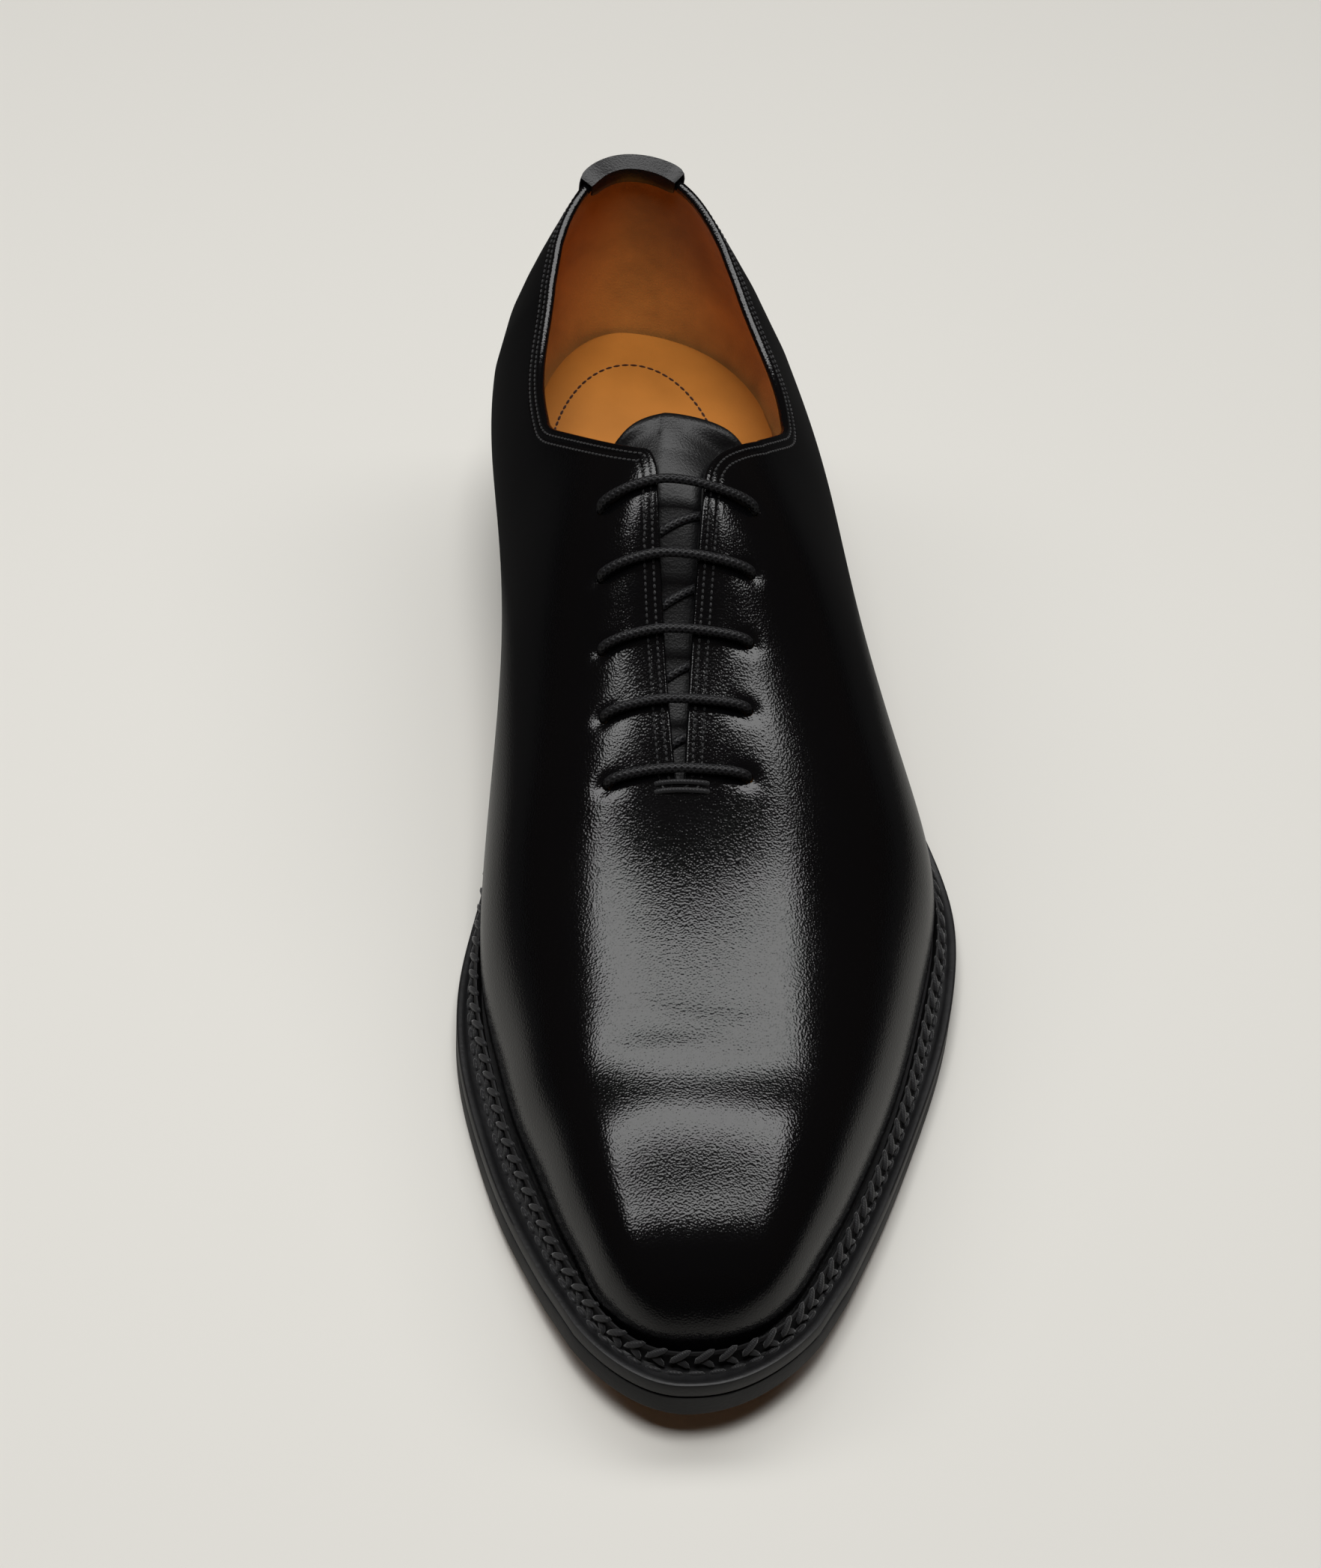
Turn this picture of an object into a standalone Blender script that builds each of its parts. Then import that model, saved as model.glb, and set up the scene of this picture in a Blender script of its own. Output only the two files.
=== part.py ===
"""Whole cut oxford, left shoe, empty and standing on its sole.

The shoe points its toe along -Y, its outer side is +X and the floor is z = 0. The shape is worked
out in the last's own directions: x towards the outer side, u from the back of the heel to the toe
and z up. place() turns that into the object's frame, whose origin is the middle of the sole on the
floor.
"""

import math

import bmesh
import bpy
import numpy as np
from mathutils import Vector

# Driving sizes, in metres
LENGTH = 0.303
BALL_WIDTH = 0.1112
INSTEP_HEIGHT = 0.0775
HEEL_HEIGHT = 0.0275
TOE_SPRING = 0.0095
OUTSOLE_THICKNESS = 0.0055
WELT_THICKNESS = 0.0038
TOP_PIECE_THICKNESS = 0.006
HEEL_LENGTH = 0.072
HEEL_TAPER = 0.0018
BACK_HEIGHT = 0.0588
ANKLE_HEIGHT = 0.0435
WALL = 0.0021
SEAM_GAP = 0.0003
INSOLE_THICKNESS = 0.0042
WELT_FLANGE = 0.005
STORM_LIP_HEIGHT = 0.0034
STORM_LIP_THICKNESS = 0.0019
TONGUE_THICKNESS = 0.0018
LACE_DIAMETER = 0.0021
EYELET_DIAMETER = 0.0042
EYELET_ROWS = 5
EYELET_SPREAD_TOP = 0.0336
EYELET_SPREAD_BOTTOM = 0.0298
TAB_WIDTH = 0.0235
TAB_HEIGHT = 0.019
TAB_THICKNESS = 0.001

# Places along the last, as shares of its length from the back of the heel
BREAST = HEEL_LENGTH / LENGTH
WELT_END = 0.205
FLAT_START, FLAT_END = 0.568, 0.7
THROAT_BASE = 0.594
THROAT_TOP = 0.353
THROAT_REAR = 0.322
FIRST_EYELET, LAST_EYELET = 0.5915, 0.4005
FEATHER_HEEL, FEATHER_TOE = 0.006, 0.9725

# Outsole outline: share of length, half width on the inner and the outer side as shares of the ball width
SOLE_OUTLINE = [
    (0.000, 0.270, 0.285),
    (0.080, 0.275, 0.298),
    (0.160, 0.282, 0.310),
    (0.240, 0.284, 0.328),
    (0.320, 0.286, 0.368),
    (0.400, 0.302, 0.436),
    (0.480, 0.342, 0.530),
    (0.550, 0.382, 0.575),
    (0.620, 0.420, 0.563),
    (0.690, 0.424, 0.518),
    (0.760, 0.394, 0.451),
    (0.830, 0.347, 0.376),
    (0.900, 0.278, 0.290),
    (1.000, 0.171, 0.157),
]
SOLE_TIP_X = -0.025
# How the ends round off: share of length taken, then the two powers of the curve
SOLE_HEEL_END, SOLE_TOE_END = (0.125, 2.1, 2.1), (0.095, 2.8, 2.3)

# Sections of the last: share of length; feather line's half widths; ridge height and ridge place;
# how far the side swells past the feather, inner and outer; how high that swell is carried; how wide
# the crown is. Widths are shares of the ball width, heights of the instep height, and the crown is a
# share of the half width.
SECTIONS = [
    ("share", "inner", "outer", "height", "ridge", "swell_in", "swell_out", "rise", "crown"),
    (0.000, 0.246, 0.266, 1.156, -0.050, 0.127, 0.027, 0.365, 0.200),
    (0.075, 0.259, 0.275, 1.016, -0.040, 0.191, 0.074, 0.350, 0.201),
    (0.150, 0.269, 0.297, 0.900, -0.028, 0.237, 0.131, 0.340, 0.211),
    (0.230, 0.264, 0.316, 0.870, -0.016, 0.254, 0.167, 0.348, 0.246),
    (0.315, 0.260, 0.352, 0.870, -0.016, 0.232, 0.143, 0.363, 0.330),
    (0.400, 0.274, 0.412, 0.945, -0.026, 0.190, 0.089, 0.400, 0.480),
    (0.480, 0.312, 0.485, 0.895, -0.024, 0.145, 0.054, 0.430, 0.540),
    (0.560, 0.348, 0.525, 0.782, -0.016, 0.107, 0.040, 0.460, 0.550),
    (0.645, 0.370, 0.486, 0.640, -0.010, 0.055, 0.040, 0.500, 0.560),
    (0.725, 0.342, 0.426, 0.543, -0.014, 0.036, 0.038, 0.530, 0.650),
    (0.785, 0.310, 0.368, 0.484, -0.018, 0.033, 0.035, 0.565, 0.720),
    (0.832, 0.272, 0.315, 0.445, -0.021, 0.030, 0.031, 0.600, 0.770),
    (0.875, 0.2365, 0.261, 0.391, -0.022, 0.027, 0.027, 0.640, 0.800),
    (0.915, 0.193, 0.204, 0.326, -0.023, 0.023, 0.023, 0.670, 0.820),
    (1.000, 0.108, 0.090, 0.160, -0.024, 0.018, 0.018, 0.700, 0.850),
]
UPPER_HEEL_END, UPPER_TOE_END = (0.125, 2.1, 2.0), (0.082, 4.4, 2.3)
TOE_BOX_END = (0.046, 2.4, 2.1)
BACK_SWELL, BACK_LEAN = 0.0018, 0.0068

# Topline from the side: share of length, height as a share of the way from the ankle's low point
# (0) to the top of the back (1)
TOPLINE = [(0.02, 1.0), (0.045, 0.95), (0.08, 0.78), (0.12, 0.52), (0.16, 0.28), (0.20, 0.08), (0.238, 0.0), (0.267, 0.01)]
TOPLINE_TILT = 0.0015

SIDE_STEPS = 14


def cubic_through(shares, values):
    """A smooth curve through the rows of a table: a natural cubic spline, as a function."""
    x = np.asarray(shares, float)
    y = np.asarray(values, float)
    h = np.diff(x)
    slopes = np.diff(y) / h
    matrix = np.eye(len(x))
    right = np.zeros(len(x))
    for i in range(1, len(x) - 1):
        matrix[i, i - 1 : i + 2] = h[i - 1], 2 * (h[i - 1] + h[i]), h[i]
        right[i] = 6 * (slopes[i] - slopes[i - 1])
    bend = np.linalg.solve(matrix, right)

    def value(share):
        s = np.asarray(share, float)
        i = np.clip(np.searchsorted(x, s) - 1, 0, len(x) - 2)
        a, b = x[i + 1] - s, s - x[i]
        return (
            (bend[i] * a**3 + bend[i + 1] * b**3) / (6 * h[i])
            + (y[i] / h[i] - bend[i] * h[i] / 6) * a
            + (y[i + 1] / h[i] - bend[i + 1] * h[i] / 6) * b
        )

    return value


def table_curves(rows):
    """One curve for each named column of a table whose first column is the share of length."""
    names, numbers = rows[0], np.array(rows[1:], float)
    return {n: cubic_through(numbers[:, 0], numbers[:, c]) for c, n in enumerate(names) if c}


CURVE = table_curves(SECTIONS)
SOLE_CURVE = table_curves([("share", "inner", "outer"), *SOLE_OUTLINE])


def end_round(share, end, shape):
    """1 away from an end of the shoe, falling to 0 at it along a superellipse."""
    full, rise, fall = shape
    t = np.clip(1 - np.abs(np.asarray(share, float) - end) / full, 0, 1)
    t = np.where((np.asarray(share, float) - end) * (0.5 - end) < 0, 1.0, t)
    return (1 - t**rise) ** (1 / fall)


def shares_between(low, high, heel, toe, around=9, along=20):
    """Shares of length from one end to the other, set so that the rounded ends get even points."""
    width = np.linspace(0, 1, around + 1)
    rear = low + heel[0] * (1 - (1 - width ** heel[2]) ** (1 / heel[1]))
    front = high - toe[0] * (1 - (1 - width ** toe[2]) ** (1 / toe[1]))
    middle = np.linspace(rear[-1], front[-1], along + 1)[1:-1]
    return np.concatenate([rear, middle, front[::-1]])


def smooth(t):
    t = np.clip(t, 0, 1)
    return t * t * t * (t * (6 * t - 15) + 10)


def sole_bottom(share):
    """Height of the outsole's underside: the heel seat, the waist's fall, a flat and the toe spring."""
    share = np.asarray(share, float)
    seat = HEEL_HEIGHT * (1.03 - 0.06 * share / BREAST)
    fall = smooth((FLAT_START - share) / (FLAT_START - BREAST))
    spring = np.clip((share - FLAT_END) / (1 - FLAT_END), 0, None)
    return seat * fall + TOE_SPRING * spring**1.8


def sole_top(share):
    return sole_bottom(share) + OUTSOLE_THICKNESS


def feather_height(share):
    """The height that the upper stands on: the top of the welt."""
    return sole_top(share) + SEAM_GAP + WELT_THICKNESS


def sole_half(share, side):
    """The outsole's edge at a share of length, as x, on the inner (-1) or outer (1) side."""
    name = "inner" if side < 0 else "outer"
    tip = SOLE_TIP_X * smooth((share - 0.7) / 0.3)
    base = SOLE_CURVE[name](share) - side * tip
    heel = end_round(share, 0.0, SOLE_HEEL_END)
    toe = end_round(share, 1.0, SOLE_TOE_END)
    return BALL_WIDTH * (tip + side * base * heel * toe)


def last_section(share, side):
    """The four control points of a section's side as x and z: feather, swell, crown and ridge."""
    name = "inner" if side < 0 else "outer"
    swell = "swell_in" if side < 0 else "swell_out"
    heel = end_round(share, FEATHER_HEEL, UPPER_HEEL_END)
    toe = end_round(share, FEATHER_TOE, UPPER_TOE_END)
    box = end_round(share, FEATHER_TOE, TOE_BOX_END)
    ridge = CURVE["ridge"](share) * BALL_WIDTH
    half = (CURVE[name](share) * BALL_WIDTH - side * ridge) * heel * toe
    height = CURVE["height"](share) * INSTEP_HEIGHT * box
    out = CURVE[swell](share) * BALL_WIDTH * heel * toe
    z0 = feather_height(share) + SEAM_GAP
    x = [
        ridge + side * half,
        ridge + side * (half + out),
        ridge + side * half * CURVE["crown"](share),
        ridge + 0 * half,
    ]
    z = [z0, z0 + height * CURVE["rise"](share), z0 + height, z0 + height]
    return np.array(x), np.array(z)


def last_point(share, turn):
    """A point of the last in x, u, z. turn runs from -1 at the inner feather, 0 at the ridge, to 1."""
    side = -1 if turn < 0 else 1
    t = 1 - abs(turn)
    x, z = last_section(share, side)
    weights = np.array([(1 - t) ** 3, 3 * t * (1 - t) ** 2, 3 * t * t * (1 - t), t**3])
    px, pz = float(weights @ x), float(weights @ z)
    up = (pz - float(feather_height(share))) / BACK_HEIGHT
    back = BACK_LEAN * up**2.2 - BACK_SWELL * math.sin(math.pi * min(max(up, 0), 1)) if up > 0 else 0
    fade = max(0.0, 1 - share / 0.3) ** 2
    return Vector((px, share * LENGTH + back * fade, pz))


def find(function, low, high, rounds=34):
    """Where a function of one value crosses zero between low and high."""
    rising = function(high) > function(low)
    for _ in range(rounds):
        middle = 0.5 * (low + high)
        if (function(middle) > 0) == rising:
            high = middle
        else:
            low = middle
    return 0.5 * (low + high)


def skin(share, turn, out=0.0):
    """A point of the last moved outwards along the surface's normal, and that normal."""
    step = 1e-3
    low, high = max(share - step, FEATHER_HEEL + 1e-4), min(share + step, FEATHER_TOE - 1e-4)
    along = last_point(high, turn) - last_point(low, turn)
    across = last_point(share, min(turn + step, 1)) - last_point(share, max(turn - step, -1))
    normal = along.cross(across).normalized()
    normal = normal if normal.dot(last_point(share, turn) - Vector((0, share * LENGTH, 0.05))) > 0 else -normal
    return last_point(share, turn) + out * normal, normal


def over(x, share, out=0.0):
    """The point of the last's top above x, moved outwards, and the normal there.

    Past the throat's top it runs on straight, as the tongue does.
    """
    top = THROAT_TOP + 0.012
    if share >= top:
        turn = find(lambda a: last_point(share, a).x - x, -1, 1)
        return skin(share, turn, out)
    start, normal = over(x, top, out)
    ahead, _ = over(x, top + 0.03, out)
    return start + (start - ahead) * ((top - share) / 0.03) * 0.9, normal


def wall_place(x, height, side):
    """Share and turn where the heel's wall passes x at a height above the floor."""

    def turn_at(share):
        return find(lambda a: last_point(share, side * a).z - height, 0.0, 1.0, 24)

    share = find(lambda s: side * (last_point(s, side * turn_at(s)).x - x), FEATHER_HEEL, 0.2, 24)
    return share, side * turn_at(share)


def plan_loop(edge, shares):
    """A plan outline from the heel along the inner side to the toe and back along the outer side."""
    inner = [(edge(s, -1), s * LENGTH) for s in shares]
    outer = [(edge(s, 1), s * LENGTH) for s in shares[::-1]]
    return np.array(inner + outer[1:-1], float)


def feather_edge(share, side):
    return last_section(share, side)[0][0]


def outward(loop):
    """Unit normals of a plan loop that runs from the heel up the inner side."""
    along = np.roll(loop, -1, 0) - np.roll(loop, 1, 0)
    along /= np.linalg.norm(along, axis=1)[:, None]
    return np.stack([-along[:, 1], along[:, 0]], 1)


def shrink(loop, distance):
    return loop - distance * outward(loop)


def edges_at(loop, u):
    """The inner and outer x of a plan loop at one place along the shoe."""
    ends = np.roll(loop, -1, 0)
    found = []
    for a, b in zip(loop, ends):
        if (a[1] - u) * (b[1] - u) <= 0 and a[1] != b[1]:
            found.append(a[0] + (b[0] - a[0]) * (u - a[1]) / (b[1] - a[1]))
    return min(found), max(found)


def reach(point, normal, loop):
    """How far a plan loop lies from a point along a direction."""
    best = None
    for a, b in zip(loop, np.roll(loop, -1, 0)):
        edge = b - a
        cross = normal[0] * edge[1] - normal[1] * edge[0]
        if abs(cross) < 1e-15:
            continue
        gap = a - point
        t = (gap[0] * edge[1] - gap[1] * edge[0]) / cross
        k = (gap[0] * normal[1] - gap[1] * normal[0]) / cross
        if t > 0 and -1e-6 <= k <= 1 + 1e-6 and (best is None or t < best):
            best = t
    return best


SOLE_SHARES = shares_between(0.0, 1.0, SOLE_HEEL_END, SOLE_TOE_END, 9, 34)
FEATHER_SHARES = shares_between(FEATHER_HEEL, FEATHER_TOE, UPPER_HEEL_END, UPPER_TOE_END, 9, 26)
SOLE = plan_loop(sole_half, SOLE_SHARES)
FEATHER = plan_loop(feather_edge, FEATHER_SHARES)
MIDDLE_X = 0.5 * float(SOLE[:, 0].min() + SOLE[:, 0].max())
MIDDLE_U = 0.5 * LENGTH


def place(point):
    """From the last's x, u, z to the object's frame."""
    x, u, z = point
    return Vector((x - MIDDLE_X, MIDDLE_U - u, z))


def clear_scene():
    for obj in list(bpy.data.objects):
        bpy.data.objects.remove(obj, do_unlink=True)


def collection(name):
    made = bpy.data.collections.new(name)
    bpy.context.scene.collection.children.link(made)
    return made


def material(name, color, roughness, metallic=0.0):
    made = bpy.data.materials.new(name)
    made.use_nodes = True
    shader = made.node_tree.nodes["Principled BSDF"]
    shader.inputs["Base Color"].default_value = (*color, 1)
    shader.inputs["Roughness"].default_value = roughness
    shader.inputs["Metallic"].default_value = metallic
    return made


def add_mesh(name, group, points, faces, finish=None, merge=1e-6):
    """A mesh object from points in the last's directions, its faces turned outwards."""
    bm = bmesh.new()
    corners = [bm.verts.new(place(p)) for p in points]
    for face in faces:
        bm.faces.new([corners[i] for i in face])
    bmesh.ops.remove_doubles(bm, verts=bm.verts[:], dist=merge)
    bmesh.ops.recalc_face_normals(bm, faces=bm.faces[:])
    mesh = bpy.data.meshes.new(name)
    bm.to_mesh(mesh)
    bm.free()
    obj = bpy.data.objects.new(name, mesh)
    group.objects.link(obj)
    if finish:
        mesh.materials.append(finish)
        mesh.shade_smooth()
        mesh.set_sharp_from_angle(angle=math.radians(35))
    return obj


def grid_faces(rows, columns, closed=False):
    """Quads of a grid of points, row by row; closed joins each row's last point to its first."""
    faces = []
    for r in range(rows - 1):
        for c in range(columns if closed else columns - 1):
            d = (c + 1) % columns
            faces.append((r * columns + c, r * columns + d, (r + 1) * columns + d, (r + 1) * columns + c))
    return faces


def loft(name, group, sections, finish):
    """A closed solid through sections, each a ring of the same number of points."""
    columns = len(sections[0])
    faces = grid_faces(len(sections), columns, closed=True)
    faces.append(tuple(range(columns))[::-1])
    faces.append(tuple(range((len(sections) - 1) * columns, len(sections) * columns)))
    points = [p for ring in sections for p in ring]
    return add_mesh(name, group, points, faces, finish)


def slab(name, group, loop, shares, under, top, finish, chamfer=0.0, dish=0.0):
    """A solid plate over a plan loop. under and top give heights from a share of length."""
    steps = np.linspace(0, 1, 5)
    sections = []
    for share in shares:
        u = share * LENGTH
        low, high = edges_at(loop, u)
        cut = min(chamfer, 0.3 * (high - low))
        bottom = [(low + cut, u, under(share)), (high - cut, u, under(share))]
        side = [(high, u, under(share) + chamfer)] if chamfer else []
        sunk = [-dish * math.sin(math.pi * t) * min(1, (high - low) / 0.03) for t in steps[::-1]]
        lid = [
            (low + (high - low) * t, u, top(share) + d) for t, d in zip(steps[::-1], sunk)
        ]
        back = [(low, u, under(share) + chamfer)] if chamfer else []
        sections.append(bottom + side + lid + back)
    return loft(name, group, sections, finish)


def make_outsole(group, finish):
    shares = SOLE_SHARES.copy()
    shares[0], shares[-1] = 2e-4, 1 - 2e-4
    flats = [FLAT_START, FLAT_END]
    keep = [s for s in shares if all(abs(s - f) > 0.008 for f in flats)]
    return slab("outsole", group, SOLE, sorted(keep + flats), sole_bottom, sole_top, finish, chamfer=0.0009)


def make_insole(group, finish):
    loop = shrink(FEATHER, WALL + 2 * SEAM_GAP)
    low, high = loop[:, 1].min() / LENGTH, loop[:, 1].max() / LENGTH
    shares = low + (FEATHER_SHARES - FEATHER_SHARES[0]) * (high - low) / np.ptp(FEATHER_SHARES)
    shares[0], shares[-1] = low + 2e-4, high - 2e-4
    seat = lambda share: feather_height(share) + SEAM_GAP
    lid = lambda share: feather_height(share) + SEAM_GAP + INSOLE_THICKNESS
    return slab("insole", group, loop, shares, seat, lid, finish, dish=0.0008)


def edge_path(stops):
    """Points, normals and sides along the feather line through a list of shares and sides."""
    points = np.array([(feather_edge(s, side), s * LENGTH) for s, side in stops], float)
    before = np.array([(feather_edge(s, side), s * LENGTH) for s, side in nudged(stops, -1)], float)
    after = np.array([(feather_edge(s, side), s * LENGTH) for s, side in nudged(stops, 1)], float)
    along = after - before
    along /= np.linalg.norm(along, axis=1)[:, None]
    return points, np.stack([-along[:, 1], along[:, 0]], 1)


def nudged(stops, way):
    """Each stop moved a little along the path, kept between the ends of the feather line."""
    moved = []
    for share, side in stops:
        going = way if side < 0 else -way
        target = share + 4e-4 * going
        if target > FEATHER_TOE:
            moved.append((2 * FEATHER_TOE - target, -side))
        elif target < FEATHER_HEEL:
            moved.append((2 * FEATHER_HEEL - target, -side))
        else:
            moved.append((target, side))
    return moved


def swept_edge(name, group, stops, section, finish):
    """A strip swept along the feather line through the given stops."""
    points, normals = edge_path(stops)
    rings = []
    for (share, side), point, normal in zip(stops, points, normals):
        edge = reach(point, normal, SOLE)
        ring = []
        for out, height in section(share, side, edge):
            x, u = point + out * normal
            ring.append((x, u, sole_top(min(max(u / LENGTH, 0), 1)) + SEAM_GAP + height))
        rings.append(ring)
    return loft(name, group, rings, finish)


def welt_stops():
    """From the welt's end on the inner side round the toe to its end on the outer side."""
    ahead = [WELT_END] + [s for s in FEATHER_SHARES if s > WELT_END + 0.01]
    return [(s, -1) for s in ahead] + [(s, 1) for s in ahead[-2::-1]]


def rand_stops():
    """From the outer side round the heel to the inner side, one seam's gap behind the welt."""
    end = WELT_END - SEAM_GAP / LENGTH
    behind = [s for s in FEATHER_SHARES if s < end - 0.01] + [end]
    return [(s, 1) for s in behind[::-1]] + [(s, -1) for s in behind[1:]]


def upper_lean(share, side):
    """How far the upper swells outwards for each unit of height just above the feather line."""
    near = min(max(share, FEATHER_HEEL + 0.003), FEATHER_TOE - 0.003)
    x, z = last_section(near, side)
    return max(0.0, side * (x[1] - x[0]) / (z[1] - z[0]))


def welt_section(share, side, edge):
    """The storm welt in section: a flat ledge, a stitch channel and a lip against the upper."""
    lean = upper_lean(share, side)
    foot = 2.6 * SEAM_GAP
    lip = STORM_LIP_HEIGHT * (0.18 + 0.82 * float(smooth((share - 0.3) / 0.22)))
    ledge = min(foot + STORM_LIP_THICKNESS + 0.3 * lean * lip, 0.8 * edge)
    channel = WELT_THICKNESS - 0.0005
    return [
        (-WELT_FLANGE, 0),
        (edge, 0),
        (edge, WELT_THICKNESS),
        (edge - 0.22 * (edge - ledge), WELT_THICKNESS),
        (edge - 0.45 * (edge - ledge), channel),
        (ledge, channel),
        (max(foot + lean * lip + 0.5 * STORM_LIP_THICKNESS, foot + 0.6 * (ledge - foot)), WELT_THICKNESS + lip),
        (foot + lean * lip, WELT_THICKNESS + lip),
        (foot, WELT_THICKNESS),
        (-WELT_FLANGE, WELT_THICKNESS),
    ]


def rand_section(share, side, edge):
    """The plain rand under the counter, trimmed a little inside the outsole."""
    rim = edge - 0.0009
    return [(-WELT_FLANGE, 0), (rim, 0), (rim, WELT_THICKNESS), (-WELT_FLANGE, WELT_THICKNESS)]


def heel_ring(inset, height):
    """A ring of the heel in plan; height gives the floor-up height from a share of length."""
    front = (HEEL_LENGTH - 0.5 * inset) / LENGTH
    shares = [s for s in SOLE_SHARES if s < BREAST - 0.012] + [BREAST]
    path = np.array(
        [(sole_half(s, 1), s * LENGTH) for s in shares[::-1]]
        + [(sole_half(s, -1), s * LENGTH) for s in shares[1:]],
        float,
    )
    along = np.gradient(path, axis=0)
    along /= np.linalg.norm(along, axis=1)[:, None]
    rear = path - inset * np.stack([-along[:, 1], along[:, 0]], 1)
    rear[0][1] = rear[-1][1] = front * LENGTH
    right, left = rear[0][0], rear[-1][0]
    steps = np.linspace(0, 1, 9)[1:-1]
    breast = [(left + (right - left) * t, front * LENGTH - 0.0028 * math.sin(math.pi * t)) for t in steps]
    return [(x, u, height(u / LENGTH)) for x, u in [*map(tuple, rear), *breast]]


def make_heel(group, stack_finish, piece_finish):
    """The stacked heel under the seat, grooved between its lifts, and the top piece on the floor."""
    piece = [
        heel_ring(HEEL_TAPER + 0.0008, lambda share: 0.0),
        heel_ring(HEEL_TAPER, lambda share: 0.0009),
        heel_ring(HEEL_TAPER, lambda share: TOP_PIECE_THICKNESS),
    ]
    loft("heel_top_piece", group, piece, piece_finish)
    base = TOP_PIECE_THICKNESS + SEAM_GAP
    groove = 0.0004
    parts = [(0.0, 0), (0.32, 0), (0.335, 1), (0.35, 0), (0.65, 0), (0.665, 1), (0.68, 0), (1.0, 0)]
    rings = []
    for part, cut_in in parts:
        level = lambda share, part=part: base + part * (sole_bottom(share) - SEAM_GAP - base)
        rings.append(heel_ring(HEEL_TAPER * (1 - part) + 0.0007 + groove * cut_in, level))
    loft("heel_stack", group, rings, stack_finish)


def prism(name, group, near, far):
    """A cutter between two outlines of the same number of points."""
    obj = loft(name, group, [near, far], None)
    obj.hide_render = True
    obj.display_type = "WIRE"
    return obj


def topline_height(share):
    """Height of the collar's edge above the floor, seen from the side."""
    rows = np.array(TOPLINE)
    curve = cubic_through(rows[:, 0], rows[:, 1])
    back = feather_height(TOPLINE[0][0]) + BACK_HEIGHT
    low = feather_height(TOPLINE[-1][0]) + ANKLE_HEIGHT
    return low + (back - low) * float(curve(share))


def collar_outline():
    """The side view of all that the collar leaves open, as points of u and height."""
    edge = [(-0.05, topline_height(TOPLINE[0][0]))]
    for share in np.linspace(TOPLINE[0][0], TOPLINE[-1][0], 22):
        edge.append((share * LENGTH, topline_height(share)))
    low_u, low_z = edge[-1]
    top = over(0.0, THROAT_TOP + 0.012)[0]
    rise = (top.z - low_z) / (top.y - low_u)
    bend = 0.007
    for t in (0.35, 0.7, 1.0):
        edge.append((low_u + bend * t, low_z + 0.5 * rise * bend * t * t))
    over_top = 0.012
    edge.append((top.y + over_top, edge[-1][1] + rise * (top.y + over_top - edge[-1][0])))
    edge.append((top.y + over_top, 0.16))
    edge.append((-0.05, 0.16))
    return edge


def throat_centre(share):
    """The throat's middle line drifts to the outer side towards the collar."""
    t = (THROAT_BASE - share) / (THROAT_BASE - THROAT_TOP)
    return -0.0009 + 0.0026 * t * t


def throat_half(share):
    """Half the gap between the facings: a narrow V that rounds off into the collar."""
    t = (THROAT_BASE - share) / (THROAT_BASE - THROAT_TOP)
    past = (0.395 - share) * LENGTH
    turn, lead = 0.011, 0.64
    corner = 0 if past < 0 else lead * past**2 / (2 * turn) if past < turn else lead * (past - turn / 2)
    return 0.0009 + 0.0052 * t + corner


def throat_outline(height):
    shares = np.concatenate([np.linspace(THROAT_BASE, 0.405, 7), np.linspace(0.396, THROAT_REAR, 12)])
    left = [(throat_centre(s) - throat_half(s), s * LENGTH, height) for s in shares]
    right = [(throat_centre(s) + throat_half(s), s * LENGTH, height) for s in shares[::-1]]
    return left + right


def eyelet_places():
    """(share, inner x, outer x) of each row of eyelets, from the vamp up."""
    rows = []
    for k in range(EYELET_ROWS):
        t = k / (EYELET_ROWS - 1)
        share = FIRST_EYELET + (LAST_EYELET - FIRST_EYELET) * t
        half = 0.5 * (EYELET_SPREAD_BOTTOM + (EYELET_SPREAD_TOP - EYELET_SPREAD_BOTTOM) * t)
        middle = throat_centre(share) - 0.0004
        rows.append((share, middle - half, middle + half))
    return rows


def make_upper(group, cutters, finish):
    """The last's surface from feather to feather, given its wall, then opened at the collar and throat."""
    shares = shares_between(FEATHER_HEEL, FEATHER_TOE, UPPER_HEEL_END, TOE_BOX_END, 10, 22)
    turns = np.linspace(-1, 1, 2 * SIDE_STEPS + 1)
    points = [last_point(s, a) for s in shares for a in turns]
    upper = add_mesh("upper", group, points, grid_faces(len(shares), len(turns)), finish)
    if upper.data.polygons[len(turns) * 8 + SIDE_STEPS].normal.z < 0:
        upper.data.flip_normals()
    shell = upper.modifiers.new("wall", "SOLIDIFY")
    shell.thickness = WALL
    shell.offset = -1
    outline = collar_outline()
    wide = 0.1
    near = [(-wide, u, z + TOPLINE_TILT) for u, z in outline]
    far = [(wide, u, z - TOPLINE_TILT) for u, z in outline]
    throat = prism("cut_throat", cutters, throat_outline(0.06), throat_outline(0.16))
    collar = prism("cut_collar", cutters, near, far)
    holes = eyelet_cutter(cutters)
    for cutter in (collar, throat, holes):
        cut = upper.modifiers.new(cutter.name, "BOOLEAN")
        cut.operation = "DIFFERENCE"
        cut.object = cutter
    return upper


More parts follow.
